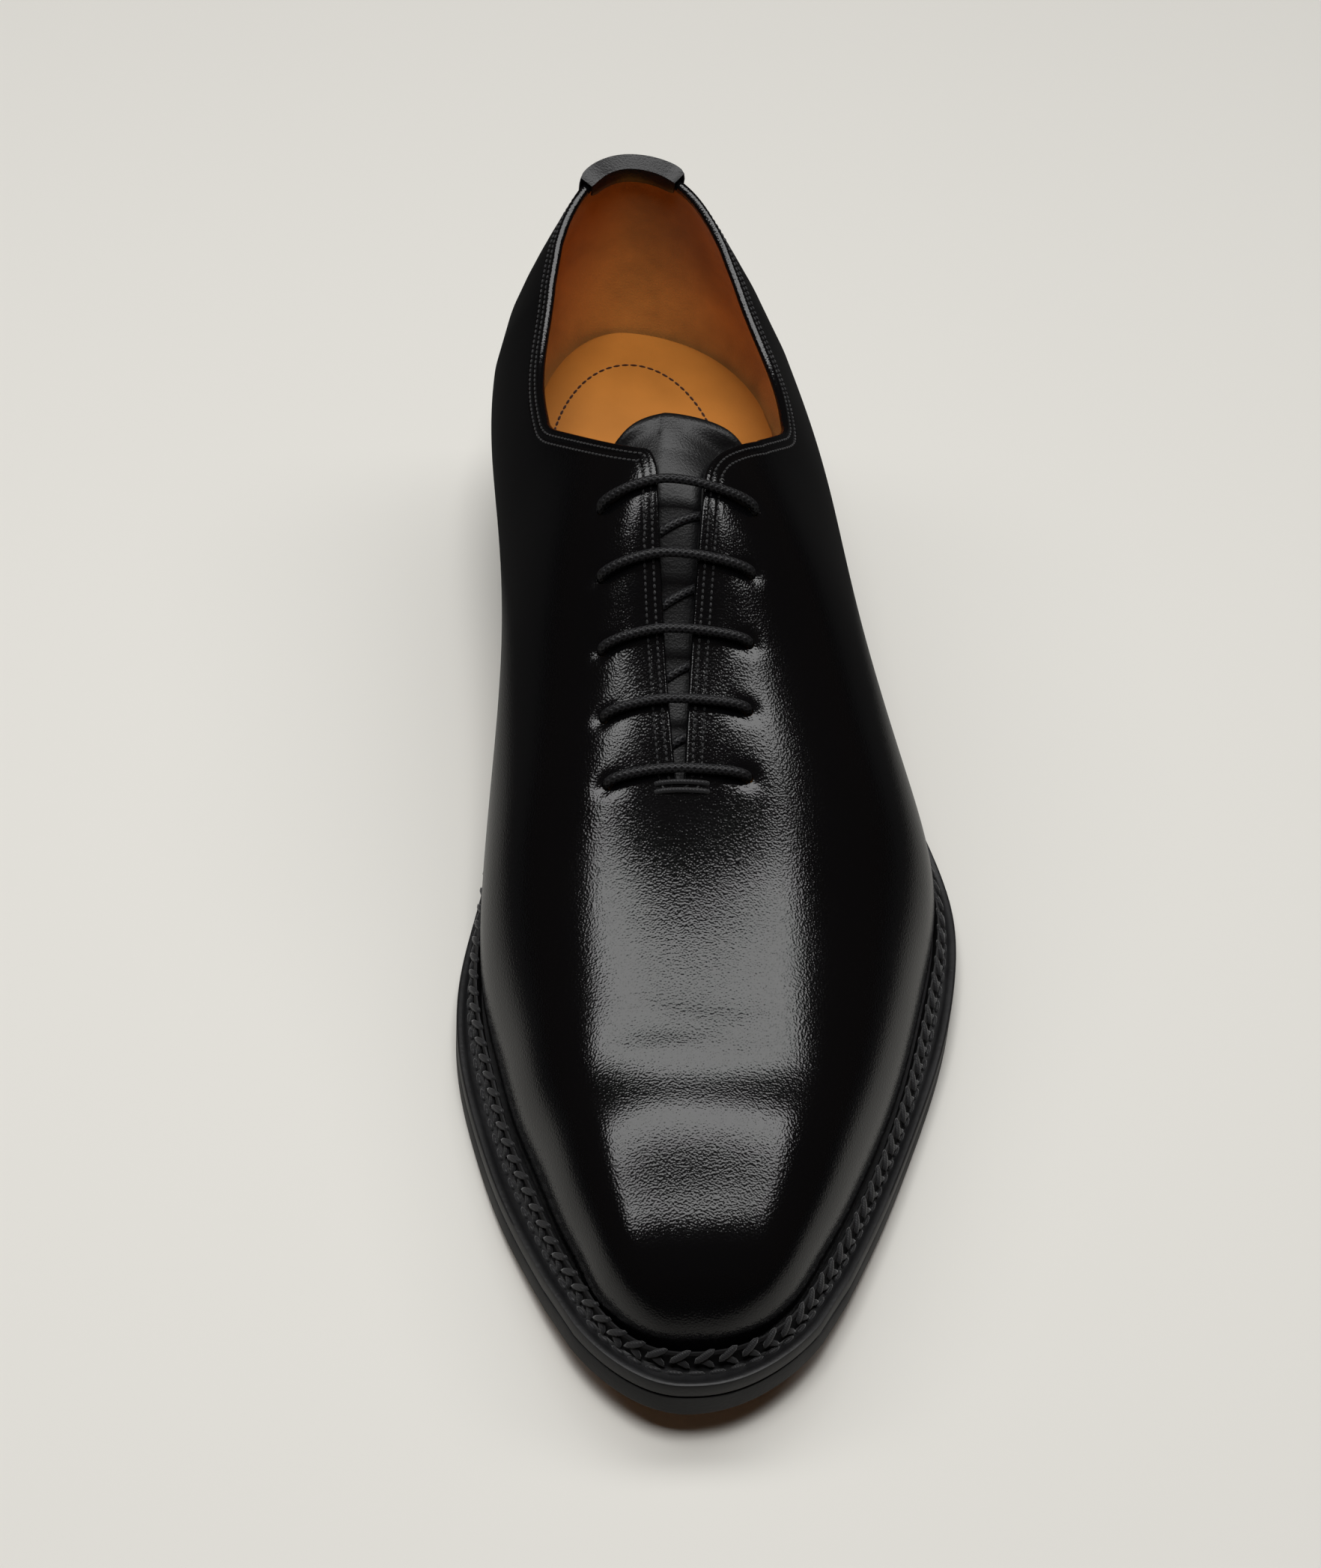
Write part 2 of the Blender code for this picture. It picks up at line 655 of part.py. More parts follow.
def eyelet_cutter(cutters):
    """One mesh of ten short cylinders, each square to the leather."""
    bm = bmesh.new()
    for share, inner, outer in eyelet_places():
        for x in (inner, outer):
            point, normal = over(x, share)
            axis = place(point + normal) - place(point)
            turn = axis.to_track_quat("Z", "Y").to_matrix().to_4x4()
            turn.translation = place(point)
            bmesh.ops.create_cone(
                bm,
                cap_ends=True,
                segments=12,
                radius1=EYELET_DIAMETER / 2,
                radius2=EYELET_DIAMETER / 2,
                depth=4 * WALL,
                matrix=turn,
            )
    mesh = bpy.data.meshes.new("cut_eyelets")
    bm.to_mesh(mesh)
    bm.free()
    cutter = bpy.data.objects.new("cut_eyelets", mesh)
    cutter.hide_render = True
    cutter.display_type = "WIRE"
    cutters.objects.link(cutter)
    return cutter


def make_tongue(group, finish):
    """A curved sheet under the throat, a lace's thickness below the facings, rounded at its top."""
    depth = WALL + LACE_DIAMETER + 4.5 * SEAM_GAP
    rows, columns = 19, 13
    base, top = THROAT_BASE + 0.028, THROAT_TOP - 0.029
    points = []
    for r in range(rows):
        t = r / (rows - 1)
        for c in range(columns):
            v = math.sin(0.5 * math.pi * (2 * c / (columns - 1) - 1))
            end = top + 0.002 * v * v + 0.016 * v**8
            share = base + (end - base) * t
            half = 0.0105 + 0.0065 * smooth(t * 1.15)
            point = over(throat_centre(share) + half * v, share, -depth)[0]
            middle = over(throat_centre(share), share, -depth)[0]
            flatter = 0.75 * float(smooth((THROAT_TOP - 0.001 - share) / 0.028))
            point.z += flatter * (middle.z - point.z)
            points.append(point)
    tongue = add_mesh("tongue", group, points, grid_faces(rows, columns), finish)
    if tongue.data.polygons[columns].normal.z < 0:
        tongue.data.flip_normals()
    sheet = tongue.modifiers.new("thickness", "SOLIDIFY")
    sheet.thickness = TONGUE_THICKNESS
    sheet.offset = -1
    return tongue


def lace_route():
    """Straight bars outside, in at the inner eyelet, slanting up inside to the next outer one."""
    above = LACE_DIAMETER / 2 + 0.0005
    below = WALL + LACE_DIAMETER / 2 + 0.0005
    rows = eyelet_places()
    route = []

    def eyelet(x, into, share):
        point, normal = over(x, share)
        return [
            over(x + into * 0.0016, share, -below - 0.0002)[0],
            point - (WALL + 0.0007) * normal,
            point - 0.3 * WALL * normal,
            over(x + into * 0.0007, share, 0.5 * above)[0],
            over(x + into * 0.0024, share, above)[0],
        ]

    for k, (share, inner, outer) in enumerate(rows):
        route += eyelet(outer, -1, share)
        for t in (0.25, 0.4, 0.5, 0.6, 0.75):
            route.append(over(outer + (inner - outer) * t, share, above)[0])
        route += eyelet(inner, 1, share)[::-1]
        if k + 1 < len(rows):
            next_share, _, next_outer = rows[k + 1]
            for t in (0.14, 0.32, 0.5, 0.68, 0.86):
                x = inner + (next_outer - inner) * t
                route.append(over(x, share + (next_share - share) * t, -below)[0])
    return route[1:-1]


def make_lace(group, finish):
    route = lace_route()
    curve = bpy.data.curves.new("lace", "CURVE")
    curve.dimensions = "3D"
    curve.bevel_depth = LACE_DIAMETER / 2
    curve.bevel_resolution = 2
    curve.use_fill_caps = True
    spline = curve.splines.new("POLY")
    spline.points.add(len(route) - 1)
    for spot, point in zip(spline.points, route):
        spot.co = (*place(point), 1)
    lace = bpy.data.objects.new("lace", curve)
    curve.materials.append(finish)
    group.objects.link(lace)
    return lace


def make_heel_tab(group, finish):
    """A small strap folded over the back of the collar, longer outside than inside."""
    middle = CURVE["ridge"](0.03) * BALL_WIDTH
    clear = 1.6 * SEAM_GAP
    rings = []
    for v in np.linspace(-1, 1, 11):
        x = middle + v * TAB_WIDTH / 2
        side = -1 if v < 0 else 1
        edge = topline_height(wall_place(x, topline_height(0.03), side)[0])
        leg = TAB_HEIGHT * (1 - 0.12 * v * v)
        outside = [skin(*wall_place(x, edge - leg * t, side)) for t in (1.0, 0.66, 0.33, 0.06)]
        inside = [skin(*wall_place(x, edge - h, side)) for h in (0.0008, 0.0045)]
        ring = [p + n * clear for p, n in outside]
        back, far = outside[-1][1], inside[0][1]
        top = Vector((0, 0, 1))
        ring.append(outside[-1][0] + back * clear * 0.6 + top * (0.06 * leg + clear))
        ring.append(inside[0][0] - far * (WALL + 0.6 * clear) + top * (0.0008 + clear))
        ring += [p - n * (WALL + clear) for p, n in inside]
        thick = TAB_THICKNESS
        ring += [p - n * (WALL + clear + thick) for p, n in inside[::-1]]
        ring.append(inside[0][0] - far * (WALL + 0.6 * clear + 0.7 * thick) + top * (0.0008 + clear + 0.7 * thick))
        ring.append(outside[-1][0] + back * (clear * 0.6 + 0.7 * thick) + top * (0.06 * leg + clear + 0.7 * thick))
        ring += [p + n * (clear + thick) for p, n in outside[::-1]]
        rings.append(ring)
    return loft("heel_tab", group, rings, finish)


def main():
    clear_scene()
    shoe = collection("whole_cut_oxford")
    cutters = collection("cutters")
    calf = material("black_calf", (0.006, 0.006, 0.007), 0.18)
    edge = material("black_sole_edge", (0.012, 0.012, 0.013), 0.5)
    bottom = material("brown_sole_leather", (0.16, 0.075, 0.035), 0.55)
    rubber = material("black_top_piece", (0.015, 0.015, 0.015), 0.6)
    lining = material("tan_lining", (0.50, 0.21, 0.045), 0.6)
    cord = material("waxed_black_cord", (0.012, 0.012, 0.013), 0.45)
    make_outsole(shoe, bottom)
    make_heel(shoe, edge, rubber)
    swept_edge("welt", shoe, welt_stops(), welt_section, edge)
    swept_edge("heel_rand", shoe, rand_stops(), rand_section, edge)
    make_insole(shoe, lining)
    make_upper(shoe, cutters, calf)
    make_tongue(shoe, calf)
    make_lace(shoe, cord)
    make_heel_tab(shoe, calf)


main()
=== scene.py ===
"""Whole cut oxford, left shoe: leather, lining, lace, welt, sole, heel and stitching around the frame.

The shape is worked out in the last's own directions, as in the part's source: x towards the outer
side, u from the back of the heel to the toe and z up. placed() turns that into the frame of the part,
where the toe points along -Y. Shares are parts of the shoe's length from the back of the heel.
"""

import math

import bmesh
import bpy
import numpy as np
from bpy.props import FloatProperty, FloatVectorProperty, PointerProperty
from mathutils import Matrix, Vector
from mathutils.bvhtree import BVHTree


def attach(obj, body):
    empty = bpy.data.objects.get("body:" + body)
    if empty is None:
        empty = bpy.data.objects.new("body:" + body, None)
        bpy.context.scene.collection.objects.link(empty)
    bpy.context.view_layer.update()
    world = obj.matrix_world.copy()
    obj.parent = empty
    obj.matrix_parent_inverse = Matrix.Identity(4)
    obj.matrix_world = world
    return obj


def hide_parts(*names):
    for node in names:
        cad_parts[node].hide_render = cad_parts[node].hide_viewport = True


bl_info = {
    "name": "Whole cut oxford",
    "version": (1, 0, 0),
    "blender": (4, 5, 0),
    "location": "3D View > Sidebar > Oxford",
    "description": "Dresses the frame of a whole cut oxford: leather, lining, lace, welt, sole and stitching",
    "category": "Object",
}

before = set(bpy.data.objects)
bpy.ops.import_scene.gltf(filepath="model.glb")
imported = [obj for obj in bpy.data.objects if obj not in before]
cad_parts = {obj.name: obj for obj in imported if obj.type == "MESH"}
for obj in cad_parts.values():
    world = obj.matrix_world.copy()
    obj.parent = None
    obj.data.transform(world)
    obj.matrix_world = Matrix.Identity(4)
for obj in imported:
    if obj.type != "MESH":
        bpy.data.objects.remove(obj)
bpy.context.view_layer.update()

# Sizes of the part's source, in metres
LENGTH = 0.303
BALL_WIDTH = 0.1112
INSTEP_HEIGHT = 0.0775
HEEL_HEIGHT = 0.0275
TOE_SPRING = 0.0095
OUTSOLE_THICKNESS = 0.0055
WELT_THICKNESS = 0.0038
TOP_PIECE_THICKNESS = 0.006
HEEL_LENGTH = 0.072
HEEL_TAPER = 0.0018
BACK_HEIGHT = 0.0588
ANKLE_HEIGHT = 0.0435
WALL = 0.0021
SEAM_GAP = 0.0003
INSOLE_THICKNESS = 0.0042
WELT_FLANGE = 0.005
STORM_LIP_HEIGHT = 0.0034
STORM_LIP_THICKNESS = 0.0019
TONGUE_THICKNESS = 0.0018
LACE_DIAMETER = 0.0021
EYELET_ROWS = 5
EYELET_SPREAD_TOP = 0.0336
EYELET_SPREAD_BOTTOM = 0.0298
TAB_WIDTH = 0.0235
TAB_HEIGHT = 0.019
TAB_THICKNESS = 0.001

# Places along the last, as shares of its length
BREAST = HEEL_LENGTH / LENGTH
WELT_END = 0.205
FLAT_START, FLAT_END = 0.568, 0.7
THROAT_BASE = 0.594
THROAT_TOP = 0.353
THROAT_REAR = 0.322
THROAT_TIP = 0.0045
FIRST_EYELET, LAST_EYELET = 0.5915, 0.4005
FEATHER_HEEL, FEATHER_TOE = 0.006, 0.9725
SOLE_TIP_X = -0.025
SOLE_HEEL_END, SOLE_TOE_END = (0.125, 2.1, 2.1), (0.095, 2.8, 2.3)
UPPER_HEEL_END, UPPER_TOE_END = (0.125, 2.1, 2.0), (0.082, 4.4, 2.3)
TOE_BOX_END = (0.035, 2.3, 2.1)
BACK_SWELL, BACK_LEAN = 0.0018, 0.0068
TOPLINE_TILT = 0.0015

# Outsole outline: share, half widths on the inner and the outer side as shares of the ball width
SOLE_OUTLINE = [
    ("share", "inner", "outer"),
    (0.000, 0.270, 0.285),
    (0.080, 0.275, 0.298),
    (0.160, 0.282, 0.310),
    (0.240, 0.284, 0.328),
    (0.320, 0.286, 0.368),
    (0.400, 0.302, 0.436),
    (0.480, 0.342, 0.530),
    (0.550, 0.382, 0.575),
    (0.620, 0.420, 0.563),
    (0.690, 0.424, 0.518),
    (0.760, 0.394, 0.451),
    (0.830, 0.347, 0.376),
    (0.900, 0.278, 0.290),
    (1.000, 0.171, 0.157),
]

# Sections of the last: feather half widths, ridge height and place, swell past the feather on each
# side, how high the swell is carried and how wide the crown is
SECTIONS = [
    ("share", "inner", "outer", "height", "ridge", "swell_in", "swell_out", "rise", "crown"),
    (0.000, 0.246, 0.266, 1.156, -0.050, 0.127, 0.027, 0.365, 0.200),
    (0.075, 0.259, 0.275, 1.016, -0.040, 0.191, 0.074, 0.350, 0.201),
    (0.150, 0.269, 0.297, 0.900, -0.028, 0.237, 0.131, 0.340, 0.211),
    (0.230, 0.264, 0.316, 0.870, -0.016, 0.254, 0.167, 0.348, 0.246),
    (0.315, 0.260, 0.352, 0.870, -0.016, 0.232, 0.143, 0.363, 0.330),
    (0.400, 0.274, 0.412, 0.945, -0.026, 0.190, 0.089, 0.400, 0.480),
    (0.480, 0.312, 0.485, 0.895, -0.024, 0.145, 0.054, 0.430, 0.540),
    (0.560, 0.348, 0.525, 0.782, -0.016, 0.107, 0.040, 0.460, 0.550),
    (0.645, 0.370, 0.486, 0.640, -0.010, 0.055, 0.040, 0.500, 0.560),
    (0.725, 0.342, 0.426, 0.543, -0.014, 0.036, 0.038, 0.530, 0.650),
    (0.785, 0.310, 0.368, 0.484, -0.018, 0.033, 0.035, 0.565, 0.720),
    (0.832, 0.272, 0.315, 0.445, -0.021, 0.030, 0.031, 0.600, 0.770),
    (0.875, 0.2365, 0.261, 0.391, -0.022, 0.027, 0.027, 0.640, 0.800),
    (0.915, 0.193, 0.204, 0.326, -0.023, 0.023, 0.023, 0.670, 0.820),
    (1.000, 0.108, 0.090, 0.160, -0.024, 0.018, 0.018, 0.700, 0.850),
]

# Topline from the side: share, height from the ankle's low point (0) to the top of the back (1)
TOPLINE = [
    ("share", "height"),
    (0.02, 1.0),
    (0.045, 0.95),
    (0.08, 0.78),
    (0.12, 0.52),
    (0.16, 0.28),
    (0.20, 0.08),
    (0.238, 0.0),
    (0.267, 0.01),
]

# Thickness of the leather below the binding, and of the binding's band, in metres
LEATHER = 0.00135
BAND = 0.0022
EDGE_ROUND = 0.0007

# Distances of the two rows of stitches from the collar's and the throat's edge, in metres
STITCH_ROWS = (0.0017, 0.0036)

# Soft troughs (-) and ridges (+) in the vamp, in millimetres: place along the shoe, place across,
# half length across, width along, height, bend towards the heel at its ends, slant
CREASES = [
    (245.0, -2.0, 30.0, 8.6, -0.85, -5.0, 0.02),
    (233.5, 4.0, 15.0, 2.6, -0.10, -3.0, 0.05),
    (239.5, -6.0, 13.0, 2.4, -0.10, -2.0, -0.05),
    (282.0, -5.0, 21.0, 8.0, 0.85, -4.0, 0.0),
]


def cubic_through(shares, values):
    """A smooth curve through the rows of a table: a natural cubic spline, as a function."""
    x = np.asarray(shares, float)
    y = np.asarray(values, float)
    h = np.diff(x)
    slopes = np.diff(y) / h
    matrix = np.eye(len(x))
    right = np.zeros(len(x))
    for i in range(1, len(x) - 1):
        matrix[i, i - 1 : i + 2] = h[i - 1], 2 * (h[i - 1] + h[i]), h[i]
        right[i] = 6 * (slopes[i] - slopes[i - 1])
    bend = np.linalg.solve(matrix, right)

    def value(share):
        s = np.asarray(share, float)
        i = np.clip(np.searchsorted(x, s) - 1, 0, len(x) - 2)
        a, b = x[i + 1] - s, s - x[i]
        cubic = (bend[i] * a**3 + bend[i + 1] * b**3) / (6 * h[i])
        return cubic + (y[i] / h[i] - bend[i] * h[i] / 6) * a + (y[i + 1] / h[i] - bend[i + 1] * h[i] / 6) * b

    return value


def table_curves(rows):
    """One curve for each named column of a table whose first column is the share of length."""
    names, numbers = rows[0], np.array(rows[1:], float)
    return {n: cubic_through(numbers[:, 0], numbers[:, c]) for c, n in enumerate(names) if c}


CURVE = table_curves(SECTIONS)
SOLE_CURVE = table_curves(SOLE_OUTLINE)
TOPLINE_CURVE = table_curves(TOPLINE)["height"]


def end_round(share, end, shape):
    """1 away from an end of the shoe, falling to 0 at it along a superellipse."""
    full, rise, fall = shape
    share = np.asarray(share, float)
    t = np.clip(1 - np.abs(share - end) / full, 0, 1)
    t = np.where((share - end) * (0.5 - end) < 0, 1.0, t)
    return (1 - t**rise) ** (1 / fall)


def shares_between(low, high, heel, toe, around, along):
    """Shares of length from one end to the other, set so that the rounded ends get even points."""
    width = np.linspace(0, 1, around + 1)
    rear = low + heel[0] * (1 - (1 - width ** heel[2]) ** (1 / heel[1]))
    front = high - toe[0] * (1 - (1 - width ** toe[2]) ** (1 / toe[1]))
    middle = np.linspace(rear[-1], front[-1], along + 1)[1:-1]
    return np.concatenate([rear, middle, front[::-1]])


def smooth(t):
    t = np.clip(t, 0, 1)
    return t * t * t * (t * (6 * t - 15) + 10)


def sole_bottom(share):
    """Height of the outsole's underside: the heel seat, the waist's fall, a flat and the toe spring."""
    share = np.asarray(share, float)
    seat = HEEL_HEIGHT * (1.03 - 0.06 * share / BREAST)
    fall = smooth((FLAT_START - share) / (FLAT_START - BREAST))
    spring = np.clip((share - FLAT_END) / (1 - FLAT_END), 0, None)
    return seat * fall + TOE_SPRING * spring**1.8


def sole_top(share):
    return sole_bottom(share) + OUTSOLE_THICKNESS


def feather_height(share):
    """The height that the upper stands on: the top of the welt."""
    return sole_top(share) + SEAM_GAP + WELT_THICKNESS


def sole_half(share, side):
    """The outsole's edge at shares of length, as x, on the inner (-1) or outer (1) side."""
    name = "inner" if side < 0 else "outer"
    tip = SOLE_TIP_X * smooth((share - 0.7) / 0.3)
    base = SOLE_CURVE[name](share) - side * tip
    heel = end_round(share, 0.0, SOLE_HEEL_END)
    toe = end_round(share, 1.0, SOLE_TOE_END)
    return BALL_WIDTH * (tip + side * base * heel * toe)


def last_points(share, turn):
    """Points of the last in x, u, z. turn runs from -1 at the inner feather, 0 at the ridge, to 1."""
    share, turn = np.broadcast_arrays(np.asarray(share, float), np.asarray(turn, float))
    inner = turn < 0
    side = np.where(inner, -1.0, 1.0)
    heel = end_round(share, FEATHER_HEEL, UPPER_HEEL_END)
    toe = end_round(share, FEATHER_TOE, UPPER_TOE_END)
    box = end_round(share, FEATHER_TOE, TOE_BOX_END)
    ridge = CURVE["ridge"](share) * BALL_WIDTH
    base = np.where(inner, CURVE["inner"](share), CURVE["outer"](share))
    swell = np.where(inner, CURVE["swell_in"](share), CURVE["swell_out"](share))
    half = (base * BALL_WIDTH - side * ridge) * heel * toe
    height = CURVE["height"](share) * INSTEP_HEIGHT * box
    t = 1 - np.abs(turn)
    foot, low, high = (1 - t) ** 3, 3 * t * (1 - t) ** 2, 3 * t * t * (1 - t)
    out = foot * half + low * (half + swell * BALL_WIDTH * heel * toe) + high * half * CURVE["crown"](share)
    x = ridge + side * out
    z = feather_height(share) + SEAM_GAP + height * (low * CURVE["rise"](share) + high + t**3)
    up = np.clip((z - feather_height(share)) / BACK_HEIGHT, 0, None)
    back = BACK_LEAN * up**2.2 - BACK_SWELL * np.sin(math.pi * np.clip(up, 0, 1))
    fade = np.clip(1 - share / 0.3, 0, None) ** 2
    return np.stack([x, share * LENGTH + back * fade, z], -1)


def unit(vectors):
    return vectors / np.maximum(np.linalg.norm(vectors, axis=-1, keepdims=True), 1e-12)


def last_normals(share, turn):
    """Outward normals of the last. The back line and the toe's tip face straight back and forward."""
    share, turn = np.broadcast_arrays(np.asarray(share, float), np.asarray(turn, float))
    step = 1e-3
    high = np.minimum(share + step, FEATHER_TOE - 1e-5)
    low = np.clip(share - step, FEATHER_HEEL + 1e-4, FEATHER_TOE - 2e-4)
    near = np.minimum(share, FEATHER_TOE - 1e-5)
    along = last_points(high, turn) - last_points(low, turn)
    across = last_points(near, np.clip(turn + step, -1, 1)) - last_points(near, np.clip(turn - step, -1, 1))
    normal = unit(np.cross(across, along))
    normal[..., 0] = np.where(share <= FEATHER_HEEL + 1e-6, 0, normal[..., 0])
    tip = (share >= FEATHER_TOE - 1e-6)[..., None]
    return unit(np.where(tip, [0.0, 1.0, 0.0], normal))


def turn_above(x, share):
    """The turn of the last's top point above x."""
    x, share = np.broadcast_arrays(np.asarray(x, float), np.asarray(share, float))
    low, high = -np.ones(x.shape), np.ones(x.shape)
    for _ in range(30):
        middle = 0.5 * (low + high)
        past = last_points(share, middle)[..., 0] > x
        high = np.where(past, middle, high)
        low = np.where(past, low, middle)
    return 0.5 * (low + high)


def over(x, share, out=0.0):
    """Points of the last's top above x, moved outwards, and the normals there.

    Past the throat's top it runs on straight, as the tongue does.
    """
    x, share, out = np.broadcast_arrays(*(np.asarray(value, float) for value in (x, share, out)))
    out = out[..., None]
    top = THROAT_TOP + 0.012
    kept = np.maximum(share, top)
    turn = turn_above(x, kept)
    normal = last_normals(kept, turn)
    point = last_points(kept, turn) + out * normal
    turn_ahead = turn_above(x, top + 0.03)
    ahead = last_points(top + 0.03, turn_ahead) + out * last_normals(top + 0.03, turn_ahead)
    past = np.clip(top - share, 0, None) / 0.03 * 0.9
    return point + (point - ahead) * past[..., None], normal


def topline_height(share):
    """Height of the collar's edge above the floor, seen from the side."""
    back = feather_height(TOPLINE[1][0]) + BACK_HEIGHT
    low = feather_height(TOPLINE[-1][0]) + ANKLE_HEIGHT
    return low + (back - low) * TOPLINE_CURVE(np.clip(share, TOPLINE[1][0], TOPLINE[-1][0]))


def collar_outline():
    """The collar's cut seen from the side: u and height, from behind the heel to the throat's top."""
    shares = np.linspace(TOPLINE[1][0], TOPLINE[-1][0], 90)
    rows = [(-0.05, topline_height(0.0))]
    rows += [(s * LENGTH, topline_height(s)) for s in shares]
    low_u, low_z = rows[-1]
    top = over(0.0, THROAT_TOP + 0.012)[0]
    rise = (top[2] - low_z) / (top[1] - low_u)
    bend = 0.007
    for t in np.linspace(0.1, 1, 10):
        rows.append((low_u + bend * t, low_z + 0.5 * rise * bend * t * t))
    end = top[1] + 0.012
    rows.append((end, rows[-1][1] + rise * (end - rows[-1][0])))
    rows.append((end + 1e-6, 0.16))
    return np.array(rows, float)


def throat_centre(share):
    """The throat's middle line drifts to the outer side towards the collar."""
    t = (THROAT_BASE - np.asarray(share, float)) / (THROAT_BASE - THROAT_TOP)
    return -0.0009 + 0.0026 * t * t


def throat_half(share):
    """Half the gap between the facings: a narrow V that rounds off into the collar."""
    share = np.asarray(share, float)
    t = (THROAT_BASE - share) / (THROAT_BASE - THROAT_TOP)
    past = np.clip((0.395 - share) * LENGTH, 0, None)
    turn, lead = 0.011, 0.64
    corner = lead * np.where(past < turn, past**2 / (2 * turn), past - turn / 2)
    tip = np.sqrt(np.clip(1 - np.clip((share - THROAT_BASE) / THROAT_TIP, 0, 1) ** 2, 0, 1))
    return np.where(share > THROAT_BASE, 0.0009 * tip, 0.0009 + 0.0052 * t + corner)


COLLAR = collar_outline()


def opening(points):
    """Above zero where the collar or the throat leaves the last open."""
    x, u, z = points[..., 0], points[..., 1], points[..., 2]
    collar = z - np.interp(u, COLLAR[:, 0], COLLAR[:, 1]) + TOPLINE_TILT * x / 0.1
    share = u / LENGTH
    throat = throat_half(share) - np.abs(x - throat_centre(share))
    inside = (share > THROAT_REAR) & (share < THROAT_BASE + THROAT_TIP)
    return np.maximum(collar, np.where(inside, throat, -1.0))


def limit_turns(shares, side):
    """The turn at which each section of the last meets the collar or the throat, or 0 at the ridge."""
    turns = np.linspace(1, 0, 400)
    open_here = opening(last_points(shares[:, None], side * turns[None, :])) > 0
    first = np.argmax(open_here, axis=1)
    low, high = turns[np.maximum(first - 1, 0)], turns[first]
    for _ in range(30):
        middle = 0.5 * (low + high)
        past = opening(last_points(shares, side * middle)) > 0
        high = np.where(past, middle, high)
        low = np.where(past, low, middle)
    return np.where(open_here.any(axis=1), 0.5 * (low + high), 0.0)


def eyelet_places():
    """(share, inner x, outer x) of each row of eyelets, from the vamp up."""
    rows = []
    for k in range(EYELET_ROWS):
        t = k / (EYELET_ROWS - 1)
        share = FIRST_EYELET + (LAST_EYELET - FIRST_EYELET) * t
        half = 0.5 * (EYELET_SPREAD_BOTTOM + (EYELET_SPREAD_TOP - EYELET_SPREAD_BOTTOM) * t)
        middle = float(throat_centre(share)) - 0.0004
        rows.append((share, middle - half, middle + half))
    return rows


def relief(points):
    """How far the leather stands off the last: flexing folds in the vamp and pulled eyelets."""
    x, u = points[..., 0] * 1000, points[..., 1] * 1000
    total = np.zeros(x.shape)
    for place, middle, half, width, height, bend, slant in CREASES:
        out = (x - middle) / half
        line = place + bend * out**2 + slant * (x - middle)
        total = total + height * np.exp(-(((u - line) / width) ** 2) - out**4)
    for share, inner, outer in eyelet_places():
        for hole, way in ((inner * 1000, 1), (outer * 1000, -1)):
            far = np.hypot(x - hole, u - share * LENGTH * 1000)
            total = total - 0.55 * np.exp(-((far / 2.1) ** 2))
            side = np.hypot((x - hole - 3.2 * way) / 2.0, (u - share * LENGTH * 1000) / 3.4)
            total = total - 0.16 * np.exp(-(side**2))
    return total / 1000


def placed(points):
    """From the last's x, u, z to the frame of the part."""
    points = np.asarray(points, float)
    return np.stack([points[..., 0] - MIDDLE_X, MIDDLE_U - points[..., 1], points[..., 2]], -1)


def turned(normals):
    """From the last's directions to the frame's directions."""
    return np.asarray(normals, float) * [1, -1, 1]


def plan_loop(edge, shares):
    """A plan outline from the heel along the inner side to the toe and back along the outer side."""
    inner = np.stack([edge(shares, -1), shares * LENGTH], 1)
    outer = np.stack([edge(shares, 1), shares * LENGTH], 1)[::-1]
    return np.concatenate([inner, outer[1:-1]])


def feather_edge(share, side):
    return last_points(share, np.full(np.shape(share), float(side)))[..., 0]


def outward(loop):
    """Unit normals of a plan loop that runs from the heel up the inner side."""
    along = unit(np.roll(loop, -1, 0) - np.roll(loop, 1, 0))
    return np.stack([-along[:, 1], along[:, 0]], 1)


SOLE_SHARES = shares_between(0.0, 1.0, SOLE_HEEL_END, SOLE_TOE_END, 40, 150)
FEATHER_SHARES = shares_between(FEATHER_HEEL, FEATHER_TOE, UPPER_HEEL_END, UPPER_TOE_END, 40, 150)
SOLE = plan_loop(sole_half, SOLE_SHARES)
FEATHER = plan_loop(feather_edge, FEATHER_SHARES)
MIDDLE_X = 0.5 * float(SOLE[:, 0].min() + SOLE[:, 0].max())
MIDDLE_U = 0.5 * LENGTH


def smoothed_mesh(name, mesh, angle=40):
    """An object at the origin with smooth faces, sharp only where they meet at a steep angle."""
    mesh.name = name
    mesh.shade_smooth()
    mesh.set_sharp_from_angle(angle=math.radians(angle))
    obj = bpy.data.objects.new(name, mesh)
    bpy.context.scene.collection.objects.link(obj)
    return obj


def solid(name, points, faces, angle=40, merge=2e-6):
    """A closed mesh from points in the last's directions, with its faces turned outwards."""
    bm = bmesh.new()
    corners = [bm.verts.new(p) for p in placed(points)]
    for face in faces:
        bm.faces.new([corners[i] for i in face])
    bmesh.ops.remove_doubles(bm, verts=bm.verts[:], dist=merge)
    bmesh.ops.dissolve_degenerate(bm, edges=bm.edges[:], dist=1e-7)
    bmesh.ops.recalc_face_normals(bm, faces=bm.faces[:])
    mesh = bpy.data.meshes.new(name)
    bm.to_mesh(mesh)
    bm.free()
    return smoothed_mesh(name, mesh, angle)


def ring_faces(rows, columns, start=0, skip=None):
    """Quads between rings of points; skip(row, column) leaves some out."""
    faces = []
    for r in range(rows - 1):
        for c in range(columns):
            if skip is not None and skip(r, c):
                continue
            d = (c + 1) % columns
            a, b = start + r * columns, start + (r + 1) * columns
            faces.append((a + c, a + d, b + d, b + c))
    return faces


